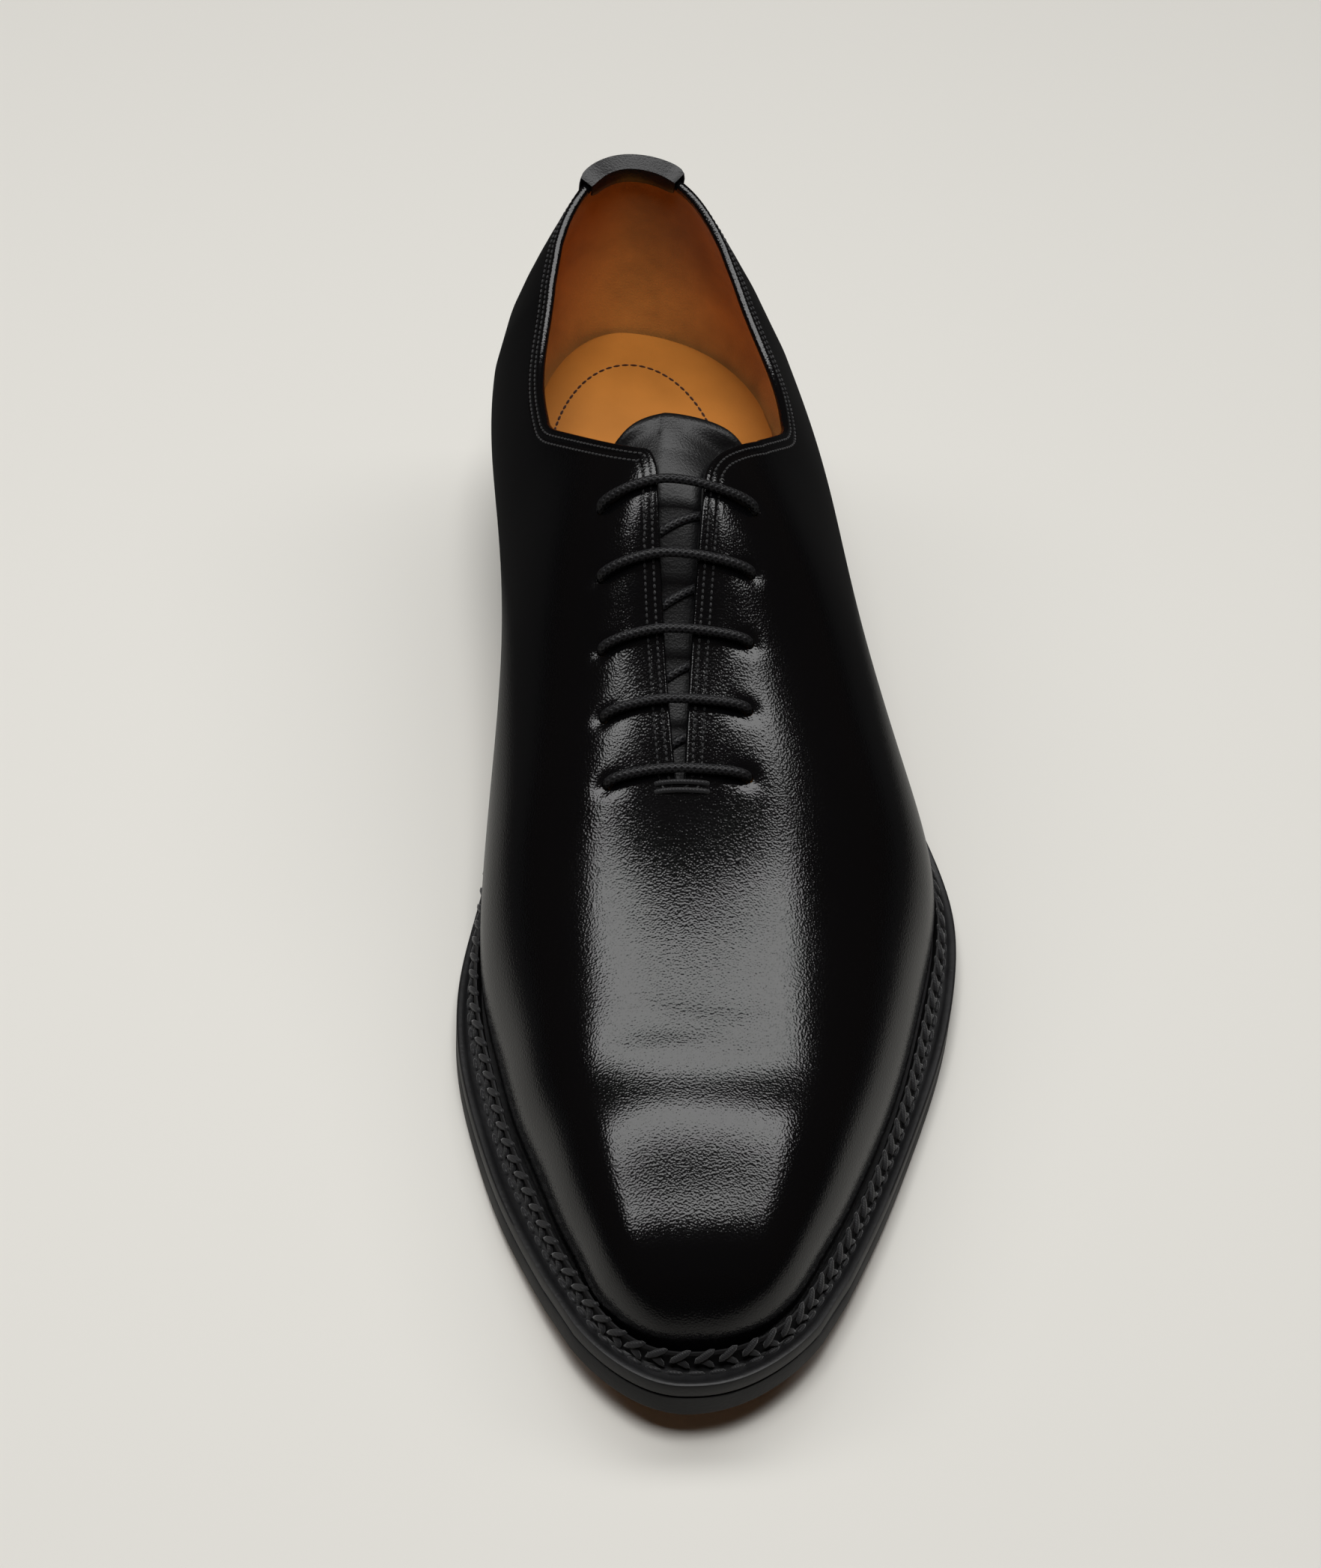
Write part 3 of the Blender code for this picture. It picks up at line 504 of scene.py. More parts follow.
def loft(name, rings, angle=40):
    """A closed solid through rings of the same number of points."""
    rings = np.asarray(rings, float)
    count, columns = rings.shape[:2]
    faces = ring_faces(count, columns)
    faces.append(tuple(range(columns))[::-1])
    faces.append(tuple(range((count - 1) * columns, count * columns)))
    return solid(name, rings.reshape(-1, 3), faces, angle)


def dress(obj, slot, material, *nodes):
    """Gives a piece its material, hides the CAD nodes it stands for and attaches it to its body; the slot is
    not used.
    """
    obj.data.materials.clear()
    obj.data.materials.append(material)
    if nodes:
        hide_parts(*nodes)
    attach(obj, "root")
    return obj


def node(tree, kind, inputs=None, **settings):
    """A new node with its settings and the values of its named or numbered inputs."""
    made = tree.nodes.new(kind)
    for key, value in settings.items():
        setattr(made, key, value)
    for key, value in (inputs or {}).items():
        made.inputs[key].default_value = value
    return made


def group_tree(name, kind, inputs, outputs):
    """A node group with float inputs and outputs, and its two end nodes."""
    tree = bpy.data.node_groups.new(name, kind)
    for title, default in inputs:
        socket = tree.interface.new_socket(title, in_out="INPUT", socket_type="NodeSocketFloat")
        socket.default_value = default
    for title in outputs:
        tree.interface.new_socket(title, in_out="OUTPUT", socket_type="NodeSocketFloat")
    return tree, tree.nodes.new("NodeGroupInput"), tree.nodes.new("NodeGroupOutput")


def grain_group():
    """Fine leather grain: small pebbles with creases between them, in object space."""
    if "leather_grain" in bpy.data.node_groups:
        return bpy.data.node_groups["leather_grain"]
    inputs = [("Cells per metre", 1500.0), ("Stretch", 0.35)]
    tree, start, end = group_tree("leather_grain", "ShaderNodeTree", inputs, ["Height", "Patches"])
    link = tree.links.new
    place = node(tree, "ShaderNodeTexCoord")
    warp = node(tree, "ShaderNodeTexNoise", {"Scale": 420.0, "Detail": 2.0})
    link(place.outputs["Object"], warp.inputs["Vector"])
    shift = node(tree, "ShaderNodeVectorMath", operation="SCALE")
    link(warp.outputs["Color"], shift.inputs[0])
    much = node(tree, "ShaderNodeMath", {1: 0.0012}, operation="MULTIPLY")
    link(start.outputs["Stretch"], much.inputs[0])
    link(much.outputs[0], shift.inputs["Scale"])
    moved = node(tree, "ShaderNodeVectorMath", operation="ADD")
    link(place.outputs["Object"], moved.inputs[0])
    link(shift.outputs[0], moved.inputs[1])
    cells = node(tree, "ShaderNodeTexVoronoi", feature="SMOOTH_F1")
    link(moved.outputs[0], cells.inputs["Vector"])
    link(start.outputs["Cells per metre"], cells.inputs["Scale"])
    link(cells.outputs["Distance"], end.inputs["Height"])
    patches = node(tree, "ShaderNodeTexNoise", {"Scale": 38.0, "Detail": 4.0, "Roughness": 0.55})
    link(place.outputs["Object"], patches.inputs["Vector"])
    link(patches.outputs["Fac"], end.inputs["Patches"])
    return tree


def add_group(tree, group, values=None):
    made = tree.nodes.new("ShaderNodeGroup")
    made.node_tree = group
    for key, value in (values or {}).items():
        made.inputs[key].default_value = value
    return made


def new_material(name, color, roughness, **constants):
    """A material with its Principled shader; constants are set on the shader's own sockets."""
    made = bpy.data.materials.new(name)
    made.use_nodes = True
    tree = made.node_tree
    shader = tree.nodes["Principled BSDF"]
    shader.inputs["Base Color"].default_value = (*color, 1)
    shader.inputs["Roughness"].default_value = roughness
    for key, value in constants.items():
        shader.inputs[key.replace("_", " ")].default_value = value
    return made, tree, shader


def bumped(tree, shader, height, distance, strength, chain=None):
    """Adds a bump from a height socket to the shader, on top of another bump if one is given."""
    bump = node(tree, "ShaderNodeBump", {"Strength": strength, "Distance": distance})
    tree.links.new(height, bump.inputs["Height"])
    if chain is not None:
        tree.links.new(chain.outputs["Normal"], bump.inputs["Normal"])
    tree.links.new(bump.outputs["Normal"], shader.inputs["Normal"])
    return bump


def ranged(tree, socket, low, high, start=0.0, stop=1.0):
    """Maps a value from start..stop to low..high."""
    values = {"From Min": start, "From Max": stop, "To Min": low, "To Max": high}
    made = node(tree, "ShaderNodeMapRange", values)
    tree.links.new(socket, made.inputs["Value"])
    return made.outputs["Result"]


def mixed(tree, factor, first, second):
    """A colour between two, by a factor socket."""
    made = node(tree, "ShaderNodeMix", data_type="RGBA")
    tree.links.new(factor, made.inputs["Factor"])
    for index, value in ((6, first), (7, second)):
        if isinstance(value, tuple):
            made.inputs[index].default_value = (*value, 1)
        else:
            tree.links.new(value, made.inputs[index])
    return made.outputs[2]


# Finishes: their colour, roughness in the sleek and the dull patches with the patch values it spans,
# grain cells per metre and their stretch, height and strength of the grain, two multiples of the colour
# with the patch values they span, and constants of the shader
FINISHES = {
    "black_polished_calf": ("calf", (0.10, 0.15, 0.3, 0.7), (2300, 0.35), (0.00007, 0.6), (), {"IOR": 1.6}),
    "black_plain_calf": ("calf", (0.34, 0.42, 0.3, 0.7), (2300, 0.35), (0.00008, 0.6), (), {"IOR": 1.6}),
    "tan_lining_leather": (
        "lining",
        (0.75, 0.75, 0.0, 1.0),
        (2400, 1.0),
        (0.00012, 0.5),
        (0.55, 1.0, 0.35, 0.65),
        {"Sheen Weight": 0.15},
    ),
    "tan_sock_leather": (
        "sock",
        (0.36, 0.52, 0.0, 1.0),
        (1300, 0.8),
        (0.00008, 0.35),
        (0.78, 1.0, 0.3, 0.7),
        {},
    ),
    "black_inked_edge": (
        "edge",
        (0.34, 0.55, 0.3, 0.7),
        (1100, 1.4),
        (0.0001, 0.45),
        (1.0, 2.6, 0.5, 0.8),
        {"Coat Weight": 0.15, "Coat Roughness": 0.25},
    ),
    "brown_sole_leather": (
        "sole",
        (0.4, 0.6, 0.3, 0.7),
        (1400, 1.2),
        (0.00009, 0.4),
        (0.72, 1.0, 0.35, 0.7),
        {},
    ),
    "black_rubber": ("rubber", (0.52, 0.72, 0.0, 1.0), (2600, 0.2), (0.00005, 0.3), (), {}),
}


def finish(name):
    """One of the finishes, made when it is first asked for."""
    if name in bpy.data.materials:
        return bpy.data.materials[name]
    key, gloss, cells, height, shades, constants = FINISHES[name]
    tint = tuple(getattr(bpy.context.scene.oxford_colours, key))
    made, tree, shader = new_material(name, tint, gloss[0], **constants)
    grain = add_group(tree, grain_group(), {"Cells per metre": cells[0], "Stretch": cells[1]})
    patches = grain.outputs["Patches"]
    tree.links.new(ranged(tree, patches, *gloss), shader.inputs["Roughness"])
    if shades:
        first, second = (tuple(share * c for c in tint) for share in shades[:2])
        spread = ranged(tree, patches, 0, 1, *shades[2:])
        tree.links.new(mixed(tree, spread, first, second), shader.inputs["Base Color"])
    bumped(tree, shader, grain.outputs["Height"], *height)
    return made


def sole_material():
    """Sole leather: an inked black edge and a bare brown underside, split by the way the face looks."""
    made = finish("brown_sole_leather")
    tree = made.node_tree
    color = tree.nodes["Principled BSDF"].inputs["Base Color"]
    under = node(tree, "ShaderNodeAttribute", attribute_name="underside")
    dark = tuple(bpy.context.scene.oxford_colours.edge)
    tree.links.new(mixed(tree, under.outputs["Fac"], dark, color.links[0].from_socket), color)
    return made


def cord_material():
    """Waxed round braid: two families of strands winding against each other, from the cord's UVs."""
    tint = tuple(bpy.context.scene.oxford_colours.cord)
    made, tree, shader = new_material("waxed_black_braid", tint, 0.38, Coat_Weight=0.2, Coat_Roughness=0.3)
    link = tree.links.new
    place = node(tree, "ShaderNodeUVMap", uv_map="along_cord")
    split = node(tree, "ShaderNodeSeparateXYZ")
    link(place.outputs["UV"], split.inputs[0])
    top = node(tree, "ShaderNodeMath", operation="MAXIMUM")
    for strand, way in enumerate((5.0, -5.0)):
        lean = node(tree, "ShaderNodeMath", {1: way}, operation="MULTIPLY_ADD")
        link(split.outputs["X"], lean.inputs[0])
        link(split.outputs["Y"], lean.inputs[2])
        turns = node(tree, "ShaderNodeMath", {1: math.tau}, operation="MULTIPLY")
        link(lean.outputs[0], turns.inputs[0])
        wave = node(tree, "ShaderNodeMath", operation="SINE")
        link(turns.outputs[0], wave.inputs[0])
        link(wave.outputs[0], top.inputs[strand])
    bumped(tree, shader, top.outputs[0], 0.00012, 0.8)
    # Painted shade and highlight: the base colour is darkened in the grooves between the strands and
    # lightened on their crests.
    shade = ranged(tree, top.outputs[0], 0.0, 1.0, -0.6, 1.0)
    deep, high = (tuple(share * c for c in tint) for share in (0.35, 1.5))
    link(mixed(tree, shade, deep, high), shader.inputs["Base Color"])
    link(ranged(tree, top.outputs[0], 0.6, 0.34, -0.6, 1.0), shader.inputs["Roughness"])
    return made


def thread_material(name, tint):
    """Waxed thread with a twist."""
    if name in bpy.data.materials:
        return bpy.data.materials[name]
    made, tree, shader = new_material(name, tuple(tint), 0.45, Sheen_Weight=0.2)
    place = node(tree, "ShaderNodeTexCoord")
    ply = node(tree, "ShaderNodeTexWave", {"Scale": 900.0, "Distortion": 2.0}, bands_direction="DIAGONAL")
    tree.links.new(place.outputs["Object"], ply.inputs["Vector"])
    tree.links.new(ranged(tree, ply.outputs["Fac"], 0.38, 0.58), shader.inputs["Roughness"])
    bumped(tree, shader, ply.outputs["Fac"], 0.00005, 0.6)
    return made


def stitch_tree():
    """A Geometry Nodes tree that lays stitches along a line whose points carry their upward normal."""
    name = "stitches_along_line"
    if name in bpy.data.node_groups:
        return bpy.data.node_groups[name]
    tree = bpy.data.node_groups.new(name, "GeometryNodeTree")
    face = tree.interface
    face.new_socket("Geometry", in_out="INPUT", socket_type="NodeSocketGeometry")
    sizes = {"Pitch": 0.0014, "Stitch length": 0.0012, "Stitch width": 0.0005, "Stitch height": 0.0004}
    for title, default in sizes.items():
        made = face.new_socket(title, in_out="INPUT", socket_type="NodeSocketFloat")
        made.subtype = "DISTANCE"
        made.default_value = default
    face.new_socket("Slant", in_out="INPUT", socket_type="NodeSocketFloat").subtype = "ANGLE"
    face.new_socket("Material", in_out="INPUT", socket_type="NodeSocketMaterial")
    face.new_socket("Geometry", in_out="OUTPUT", socket_type="NodeSocketGeometry")
    start, end = tree.nodes.new("NodeGroupInput"), tree.nodes.new("NodeGroupOutput")
    line = node(tree, "GeometryNodeMeshToCurve")
    spots = node(tree, "GeometryNodeCurveToPoints", mode="LENGTH")
    up = node(tree, "GeometryNodeInputNamedAttribute", {"Name": "up"}, data_type="FLOAT_VECTOR")
    ahead = node(tree, "FunctionNodeAlignRotationToVector", axis="X")
    upright = node(tree, "FunctionNodeAlignRotationToVector", axis="Z", pivot_axis="X")
    tilt = node(tree, "ShaderNodeCombineXYZ")
    slanted = node(tree, "FunctionNodeRotateRotation", rotation_space="LOCAL")
    bead = node(tree, "GeometryNodeMeshUVSphere", {"Segments": 8, "Rings": 5, "Radius": 0.5})
    size = node(tree, "ShaderNodeCombineXYZ")
    laid_out = node(tree, "GeometryNodeInstanceOnPoints")
    real = node(tree, "GeometryNodeRealizeInstances")
    soft = node(tree, "GeometryNodeSetShadeSmooth")
    coated = node(tree, "GeometryNodeSetMaterial")
    wires = (
        (start, "Geometry", line, "Mesh"),
        (line, "Curve", spots, "Curve"),
        (start, "Pitch", spots, "Length"),
        (spots, "Tangent", ahead, "Vector"),
        (ahead, "Rotation", upright, "Rotation"),
        (up, "Attribute", upright, "Vector"),
        (start, "Slant", tilt, "Z"),
        (upright, "Rotation", slanted, "Rotation"),
        (tilt, "Vector", slanted, "Rotate By"),
        (start, "Stitch length", size, "X"),
        (start, "Stitch width", size, "Y"),
        (start, "Stitch height", size, "Z"),
        (spots, "Points", laid_out, "Points"),
        (bead, "Mesh", laid_out, "Instance"),
        (slanted, "Rotation", laid_out, "Rotation"),
        (size, "Vector", laid_out, "Scale"),
        (laid_out, "Instances", real, "Geometry"),
        (real, "Geometry", soft, "Geometry"),
        (soft, "Geometry", coated, "Geometry"),
        (start, "Material", coated, "Material"),
        (coated, "Geometry", end, "Geometry"),
    )
    for giver, output, taker, entry in wires:
        tree.links.new(giver.outputs[output], taker.inputs[entry])
    return tree


def stitches(name, lines, material, pitch, length, width, height, slant=0.0):
    """One mesh of stitches along lines; each line is its points and normals in the part's frame."""
    mesh = bpy.data.meshes.new(name)
    points = np.concatenate([np.asarray(line, float) for line, _ in lines])
    edges = []
    start = 0
    for line, _ in lines:
        edges += [(start + i, start + i + 1) for i in range(len(line) - 1)]
        start += len(line)
    mesh.from_pydata(points.tolist(), edges, [])
    ups = mesh.attributes.new("up", "FLOAT_VECTOR", "POINT")
    ups.data.foreach_set("vector", np.concatenate([np.asarray(n, float) for _, n in lines]).ravel())
    obj = bpy.data.objects.new(name, mesh)
    bpy.context.scene.collection.objects.link(obj)
    tree = stitch_tree()
    nodes = obj.modifiers.new("stitches", "NODES")
    nodes.node_group = tree
    keys = {item.name: item.identifier for item in tree.interface.items_tree if item.in_out == "INPUT"}
    values = {
        "Pitch": pitch,
        "Stitch length": length,
        "Stitch width": width,
        "Stitch height": height,
        "Slant": slant,
        "Material": material,
    }
    for title, value in values.items():
        nodes[keys[title]] = value
    bpy.context.view_layer.update()
    result = bpy.data.meshes.new_from_object(obj.evaluated_get(bpy.context.evaluated_depsgraph_get()))
    obj.modifiers.clear()
    obj.data = result
    result.name = name
    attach(obj, "root")
    return obj


def evened(points, spacing):
    """A line of points resampled to an even spacing."""
    points = np.asarray(points, float)
    run = np.concatenate([[0], np.cumsum(np.linalg.norm(np.diff(points, axis=0), axis=1))])
    count = max(2, int(round(run[-1] / spacing)) + 1)
    at = np.linspace(0, run[-1], count)
    return np.stack([np.interp(at, run, points[:, k]) for k in range(3)], 1)


def through(points, spacing):
    """A smooth line through points, sampled evenly."""
    points = np.asarray(points, float)
    run = np.concatenate([[0], np.cumsum(np.linalg.norm(np.diff(points, axis=0), axis=1))])
    at = np.linspace(0, run[-1], int(run[-1] / spacing) + 2)
    return np.stack([cubic_through(run, points[:, k])(at) for k in range(3)], 1)


def tube(name, line, radius, around=16, reps=5.0):
    """A round cord along a line in the part's frame, closed at its ends, with UVs along and round it."""
    line = np.asarray(line, float)
    along = unit(np.gradient(line, axis=0))
    radii = np.broadcast_to(np.asarray(radius, float), (len(line),))
    side = np.zeros_like(line)
    start = np.cross(along[0], [0.3, 0.2, 0.9])
    side[0] = start / np.linalg.norm(start)
    for i in range(1, len(line)):
        kept = side[i - 1] - along[i] * np.dot(side[i - 1], along[i])
        side[i] = kept / np.linalg.norm(kept)
    other = np.cross(along, side)
    angles = np.arange(around) * math.tau / around
    rings = line[:, None, :] + radii[:, None, None] * (
        np.cos(angles)[None, :, None] * side[:, None, :] + np.sin(angles)[None, :, None] * other[:, None, :]
    )
    run = np.concatenate([[0], np.cumsum(np.linalg.norm(np.diff(line, axis=0), axis=1))])
    bm = bmesh.new()
    layer = bm.loops.layers.uv.new("along_cord")
    corners = [bm.verts.new(p) for p in rings.reshape(-1, 3)]
    for r in range(len(line) - 1):
        for c in range(around):
            d = (c + 1) % around
            ring = r * around
            quad = (ring + c, ring + d, ring + around + d, ring + around + c)
            face = bm.faces.new([corners[i] for i in quad])
            spots = [(run[r], c), (run[r], c + 1), (run[r + 1], c + 1), (run[r + 1], c)]
            for loop, (far, turn) in zip(face.loops, spots):
                loop[layer].uv = (turn / around, far * reps / (math.tau * float(radii[0])))
    bm.faces.new(corners[:around][::-1])
    bm.faces.new(corners[-around:])
    bmesh.ops.recalc_face_normals(bm, faces=bm.faces[:])
    mesh = bpy.data.meshes.new(name)
    bm.to_mesh(mesh)
    bm.free()
    return smoothed_mesh(name, mesh, 60)


def joined(name, parts):
    """Several meshes as one object."""
    bm = bmesh.new()
    for part in parts:
        bm.from_mesh(part.data)
    mesh = bpy.data.meshes.new(name)
    bm.to_mesh(mesh)
    bm.free()
    for part in parts:
        bpy.data.objects.remove(part, do_unlink=True)
    return smoothed_mesh(name, mesh, 60)


# Distances from the edge, in millimetres, at which the upper's wall has points close together
NEAR_EDGE = (0, 0.35, 0.7, 1.0, 1.2, 1.45, 1.7, 2.0, 2.4, 2.8, 3.1, 3.35, 3.6, 3.9, 4.4, 5.2)


class Wall:
    """The upper's wall: sections of the last from the feather to the collar, throat or ridge."""

    def __init__(self, shares):
        self.shares = shares
        self.tip = int(np.searchsorted(shares, THROAT_BASE + THROAT_TIP - 1e-9))
        self.sides = {side: self.sections(side) for side in (-1, 1)}
        past = (shares - THROAT_BASE - THROAT_TIP) * LENGTH
        self.open = 1 - smooth(past / 0.003)
        self.rim = np.where(np.arange(len(shares)) >= self.tip, 0.0, EDGE_ROUND)

    def sections(self, side):
        limit = limit_turns(self.shares, side)
        limit[self.tip :] = 0
        steps = np.linspace(0, 1, 180)
        turns = limit[:, None] + (1 - limit[:, None]) * steps[None, :]
        points = last_points(self.shares[:, None], side * turns)
        run = np.cumsum(np.linalg.norm(np.diff(points, axis=1), axis=2), axis=1)
        return turns, np.concatenate([np.zeros((len(run), 1)), run], 1)

    def at(self, side, distances, depths):
        """Points at distances from the limit and depths under the skin, both rows by columns."""
        turns, runs = self.sides[side]
        turn = np.stack([np.interp(d, r, t) for d, r, t in zip(distances, runs, turns)])
        share = self.shares[:, None]
        skin = last_points(share, side * turn)
        normal = last_normals(np.broadcast_to(share, turn.shape), side * turn)
        return skin + (relief(skin) - depths)[..., None] * normal

    def shell(self, name, outer, thickness, inset=0.0, columns=88, inside=24, rounding=8, rim=None):
        """A closed shell: outer and thickness give depths from the distance to the limit."""
        pieces, faces = [], []
        edge = self.rim if rim is None else np.where(self.rim > 0, rim, 0.0)
        for side in (-1, 1):
            runs = self.sides[side][1][:, -1]
            scale = np.minimum(1, runs / 0.03)[:, None]
            inset_here = np.where(self.rim > 0, inset, 0.0)[:, None]
            near = np.array(NEAR_EDGE)[None, :] / 1000
            start = (edge[:, None] + inset_here + near) * scale

            def spread(count):
                far = np.linspace(0, 1, count - near.shape[1] + 1)[None, 1:] ** (1 + 0.3 * (count > 60))
                return np.concatenate([start, start[:, -1:] + (runs[:, None] - start[:, -1:]) * far], 1)

            out = spread(columns)[:, ::-1]
            back = spread(inside)
            angle = np.linspace(0, math.pi, rounding + 1)[None, 1:-1]
            top, thick = outer(start[:, :1], self.open[:, None]), thickness(start[:, :1], self.open[:, None])
            rim_far = inset_here * scale + edge[:, None] * scale * (1 - np.sin(angle))
            rim_deep = top + 0.5 * thick * (1 - np.cos(angle))
            open_ = self.open[:, None]
            distances = np.concatenate([out, rim_far, back], 1)
            deep = outer(back, open_) + thickness(back, open_)
            depths = np.concatenate([outer(out, open_), rim_deep, deep], 1)
            points = self.at(side, distances, depths)
            rows, across = points.shape[:2]
            strip = (columns - 1, columns + rounding - 2)

            def skip(r, c, strip=strip):
                return r >= self.tip and strip[0] <= c <= strip[1]

            faces += ring_faces(rows, across, sum(len(p) for p in pieces), skip)
            pieces.append(points.reshape(-1, 3))
        return solid(name, np.concatenate(pieces), faces, 50)

    def edge_line(self):
        """The opening's edge from the throat's tip up the inner side, round the heel and back."""
        lines = []
        for side in (-1, 1):
            rows = np.arange(self.tip)[::-1] if side < 0 else np.arange(self.tip)
            zero = np.zeros((len(self.shares), 1))
            lines.append(self.at(side, zero, zero)[:, 0][rows])
        return np.concatenate([lines[0], lines[1][1:]])


def wall_shares():
    """Sections of the upper, close together at the ends, the collar's corners and the throat's tip."""
    base = shares_between(FEATHER_HEEL, FEATHER_TOE, UPPER_HEEL_END, TOE_BOX_END, 26, 150)
    corners = np.linspace(0.285, 0.388, 42)
    holes = np.linspace(LAST_EYELET - 0.0115, FIRST_EYELET + 0.018, 100)
    tip = THROAT_BASE + THROAT_TIP * np.sin(np.linspace(-0.6, 0.5 * math.pi, 14))
    plain = base[(base < 0.285) | (base > 0.61)]
    kept = [s for s in np.concatenate([plain, corners, holes]) if np.abs(tip - s).min() > 0.0006]
    shares = np.sort(np.concatenate([kept, tip]))
    far = np.concatenate([[True], np.diff(shares) > 2e-5])
    return shares[far]


SHOE = {}


def wall():
    if "wall" not in SHOE:
        SHOE["wall"] = Wall(wall_shares())
    return SHOE["wall"]


def skin_tree():
    """The finished upper's surface, for laying things on it."""
    if "skin" not in SHOE:
        mesh = bpy.data.objects["upper_leather"].data
        corners = [v.co for v in mesh.vertices]
        SHOE["skin"] = BVHTree.FromPolygons(corners, [tuple(p.vertices) for p in mesh.polygons])
    return SHOE["skin"]


def laid(points, lift=0.0):
    """Points dropped on the upper's surface and lifted off it, with the surface's normals."""
    spots, normals = [], []
    for point in points:
        spot, normal, _, _ = skin_tree().find_nearest(Vector(point))
        spots.append(spot + lift * normal)
        normals.append(normal)
    return np.array(spots), np.array(normals)


def turn_near(points):
    """The turn of the last that lies nearest to points near its surface."""
    share = np.clip(points[:, 1] / LENGTH, FEATHER_HEEL + 0.0005, FEATHER_TOE)
    turns = np.linspace(-1, 1, 600)
    grid = last_points(share[:, None], turns[None, :])
    return turns[np.argmin(np.linalg.norm(grid - points[:, None, :], axis=2), axis=1)]


def length(name, description, default):
    return FloatProperty(name=name, description=description, default=default, unit="LENGTH", precision=4)


def colour(name, description, default):
    settings = {"subtype": "COLOR", "min": 0, "max": 1}
    return FloatVectorProperty(name=name, description=description, default=default, **settings)


class OxfordSizes(bpy.types.PropertyGroup):
    """Sizes a maker would change, in metres."""

    lace: length("Lace diameter", "Thickness of the round lace", LACE_DIAMETER)
    pitch: length("Stitch pitch", "Distance between stitches on the upper", 0.0014)
    welt_pitch: length("Welt stitch pitch", "Distance between the stitches of the sole seam", 0.0043)
    rope_pitch: length("Rope pitch", "Distance between the twists of the welt's rope", 0.0048)
    eyelet: length("Eyelet diameter", "Width of each hole for the lace", 0.0027)


class OxfordColours(bpy.types.PropertyGroup):
    """Colours of the shoe's finishes."""

    calf: colour("Calf", "Polished calf of the upper", (0.0022, 0.0022, 0.0026))
    lining: colour("Lining", "Lining leather of the quarters", (0.70, 0.30, 0.062))
    sock: colour("Sock", "Sock leather on the insole", (0.56, 0.22, 0.04))
    edge: colour("Edge ink", "Inked welt, sole edge and heel", (0.008, 0.008, 0.0085))
    sole: colour("Sole leather", "Bare underside of the sole", (0.20, 0.095, 0.04))
    rubber: colour("Top piece", "Rubber under the heel", (0.015, 0.015, 0.015))
    cord: colour("Lace", "Waxed lace", (0.010, 0.010, 0.011))
    thread: colour("Thread", "Thread of the upper", (0.012, 0.012, 0.013))
    floor: colour("Floor", "Plain pale floor", (0.72, 0.705, 0.66))


class OXFORD_OT_upper(bpy.types.Operator):
    """Make the one-piece upper with its bound edge, folds and eyelets"""

    bl_idname = "oxford.upper"
    bl_label = "Upper"

    def execute(self, context):
        def outer(distance, open_):
            valleys = sum(np.exp(-(((distance - row) / 0.00035) ** 2)) for row in STITCH_ROWS)
            return 0.00016 * valleys * open_

        def thickness(distance, open_):
            band = open_ * (1 - smooth((distance - BAND + 0.0002) / 0.0004))
            return LEATHER + (WALL - LEATHER) * band

        upper = wall().shell("upper_leather", outer, thickness)
        self.punch(upper, context.scene.oxford_sizes.eyelet)
        dress(upper, "black_calf", finish("black_polished_calf"), "upper")
        return {"FINISHED"}

    def punch(self, upper, diameter):
        """Cut the ten eyelets square to the leather."""
        bm = bmesh.new()
        for share, inner, outer in eyelet_places():
            for x in (inner, outer):
                point, normal = over(x, share)
                axis = Vector(turned(normal))
                turn = axis.to_track_quat("Z", "Y").to_matrix().to_4x4()
                turn.translation = Vector(placed(point))
                size = {"radius1": diameter / 2, "radius2": diameter / 2, "depth": 0.009}
                bmesh.ops.create_cone(bm, cap_ends=True, segments=20, matrix=turn, **size)
        mesh = bpy.data.meshes.new("punch")
        bm.to_mesh(mesh)
        bm.free()
        punch = bpy.data.objects.new("punch", mesh)
        bpy.context.scene.collection.objects.link(punch)
        cut = upper.modifiers.new("eyelets", "BOOLEAN")
        cut.operation = "DIFFERENCE"
        cut.solver = "EXACT"
        cut.object = punch
        result = bpy.data.meshes.new_from_object(upper.evaluated_get(bpy.context.evaluated_depsgraph_get()))
        upper.modifiers.clear()
        upper.data = result
        bpy.data.objects.remove(punch, do_unlink=True)
        result.set_sharp_from_angle(angle=math.radians(50))


class OXFORD_OT_lining(bpy.types.Operator):
    """Make the lining inside the upper, below the black binding"""

    bl_idname = "oxford.lining"
    bl_label = "Lining"

    def execute(self, context):
        shares = wall_shares()
        half = shares[::2]
        inner = Wall(half if half[-1] == shares[-1] else np.append(half, shares[-1]))
        clear = 0.00006
        lining = inner.shell(
            "quarter_lining",
            lambda distance, open_: LEATHER + clear + 0 * distance,
            lambda distance, open_: WALL - LEATHER - clear + 0 * distance,
            inset=BAND + 0.0002,
            columns=40,
            inside=40,
            rounding=4,
            rim=0.0002,
        )
        dress(lining, "tan_leather", finish("tan_lining_leather"))
        return {"FINISHED"}


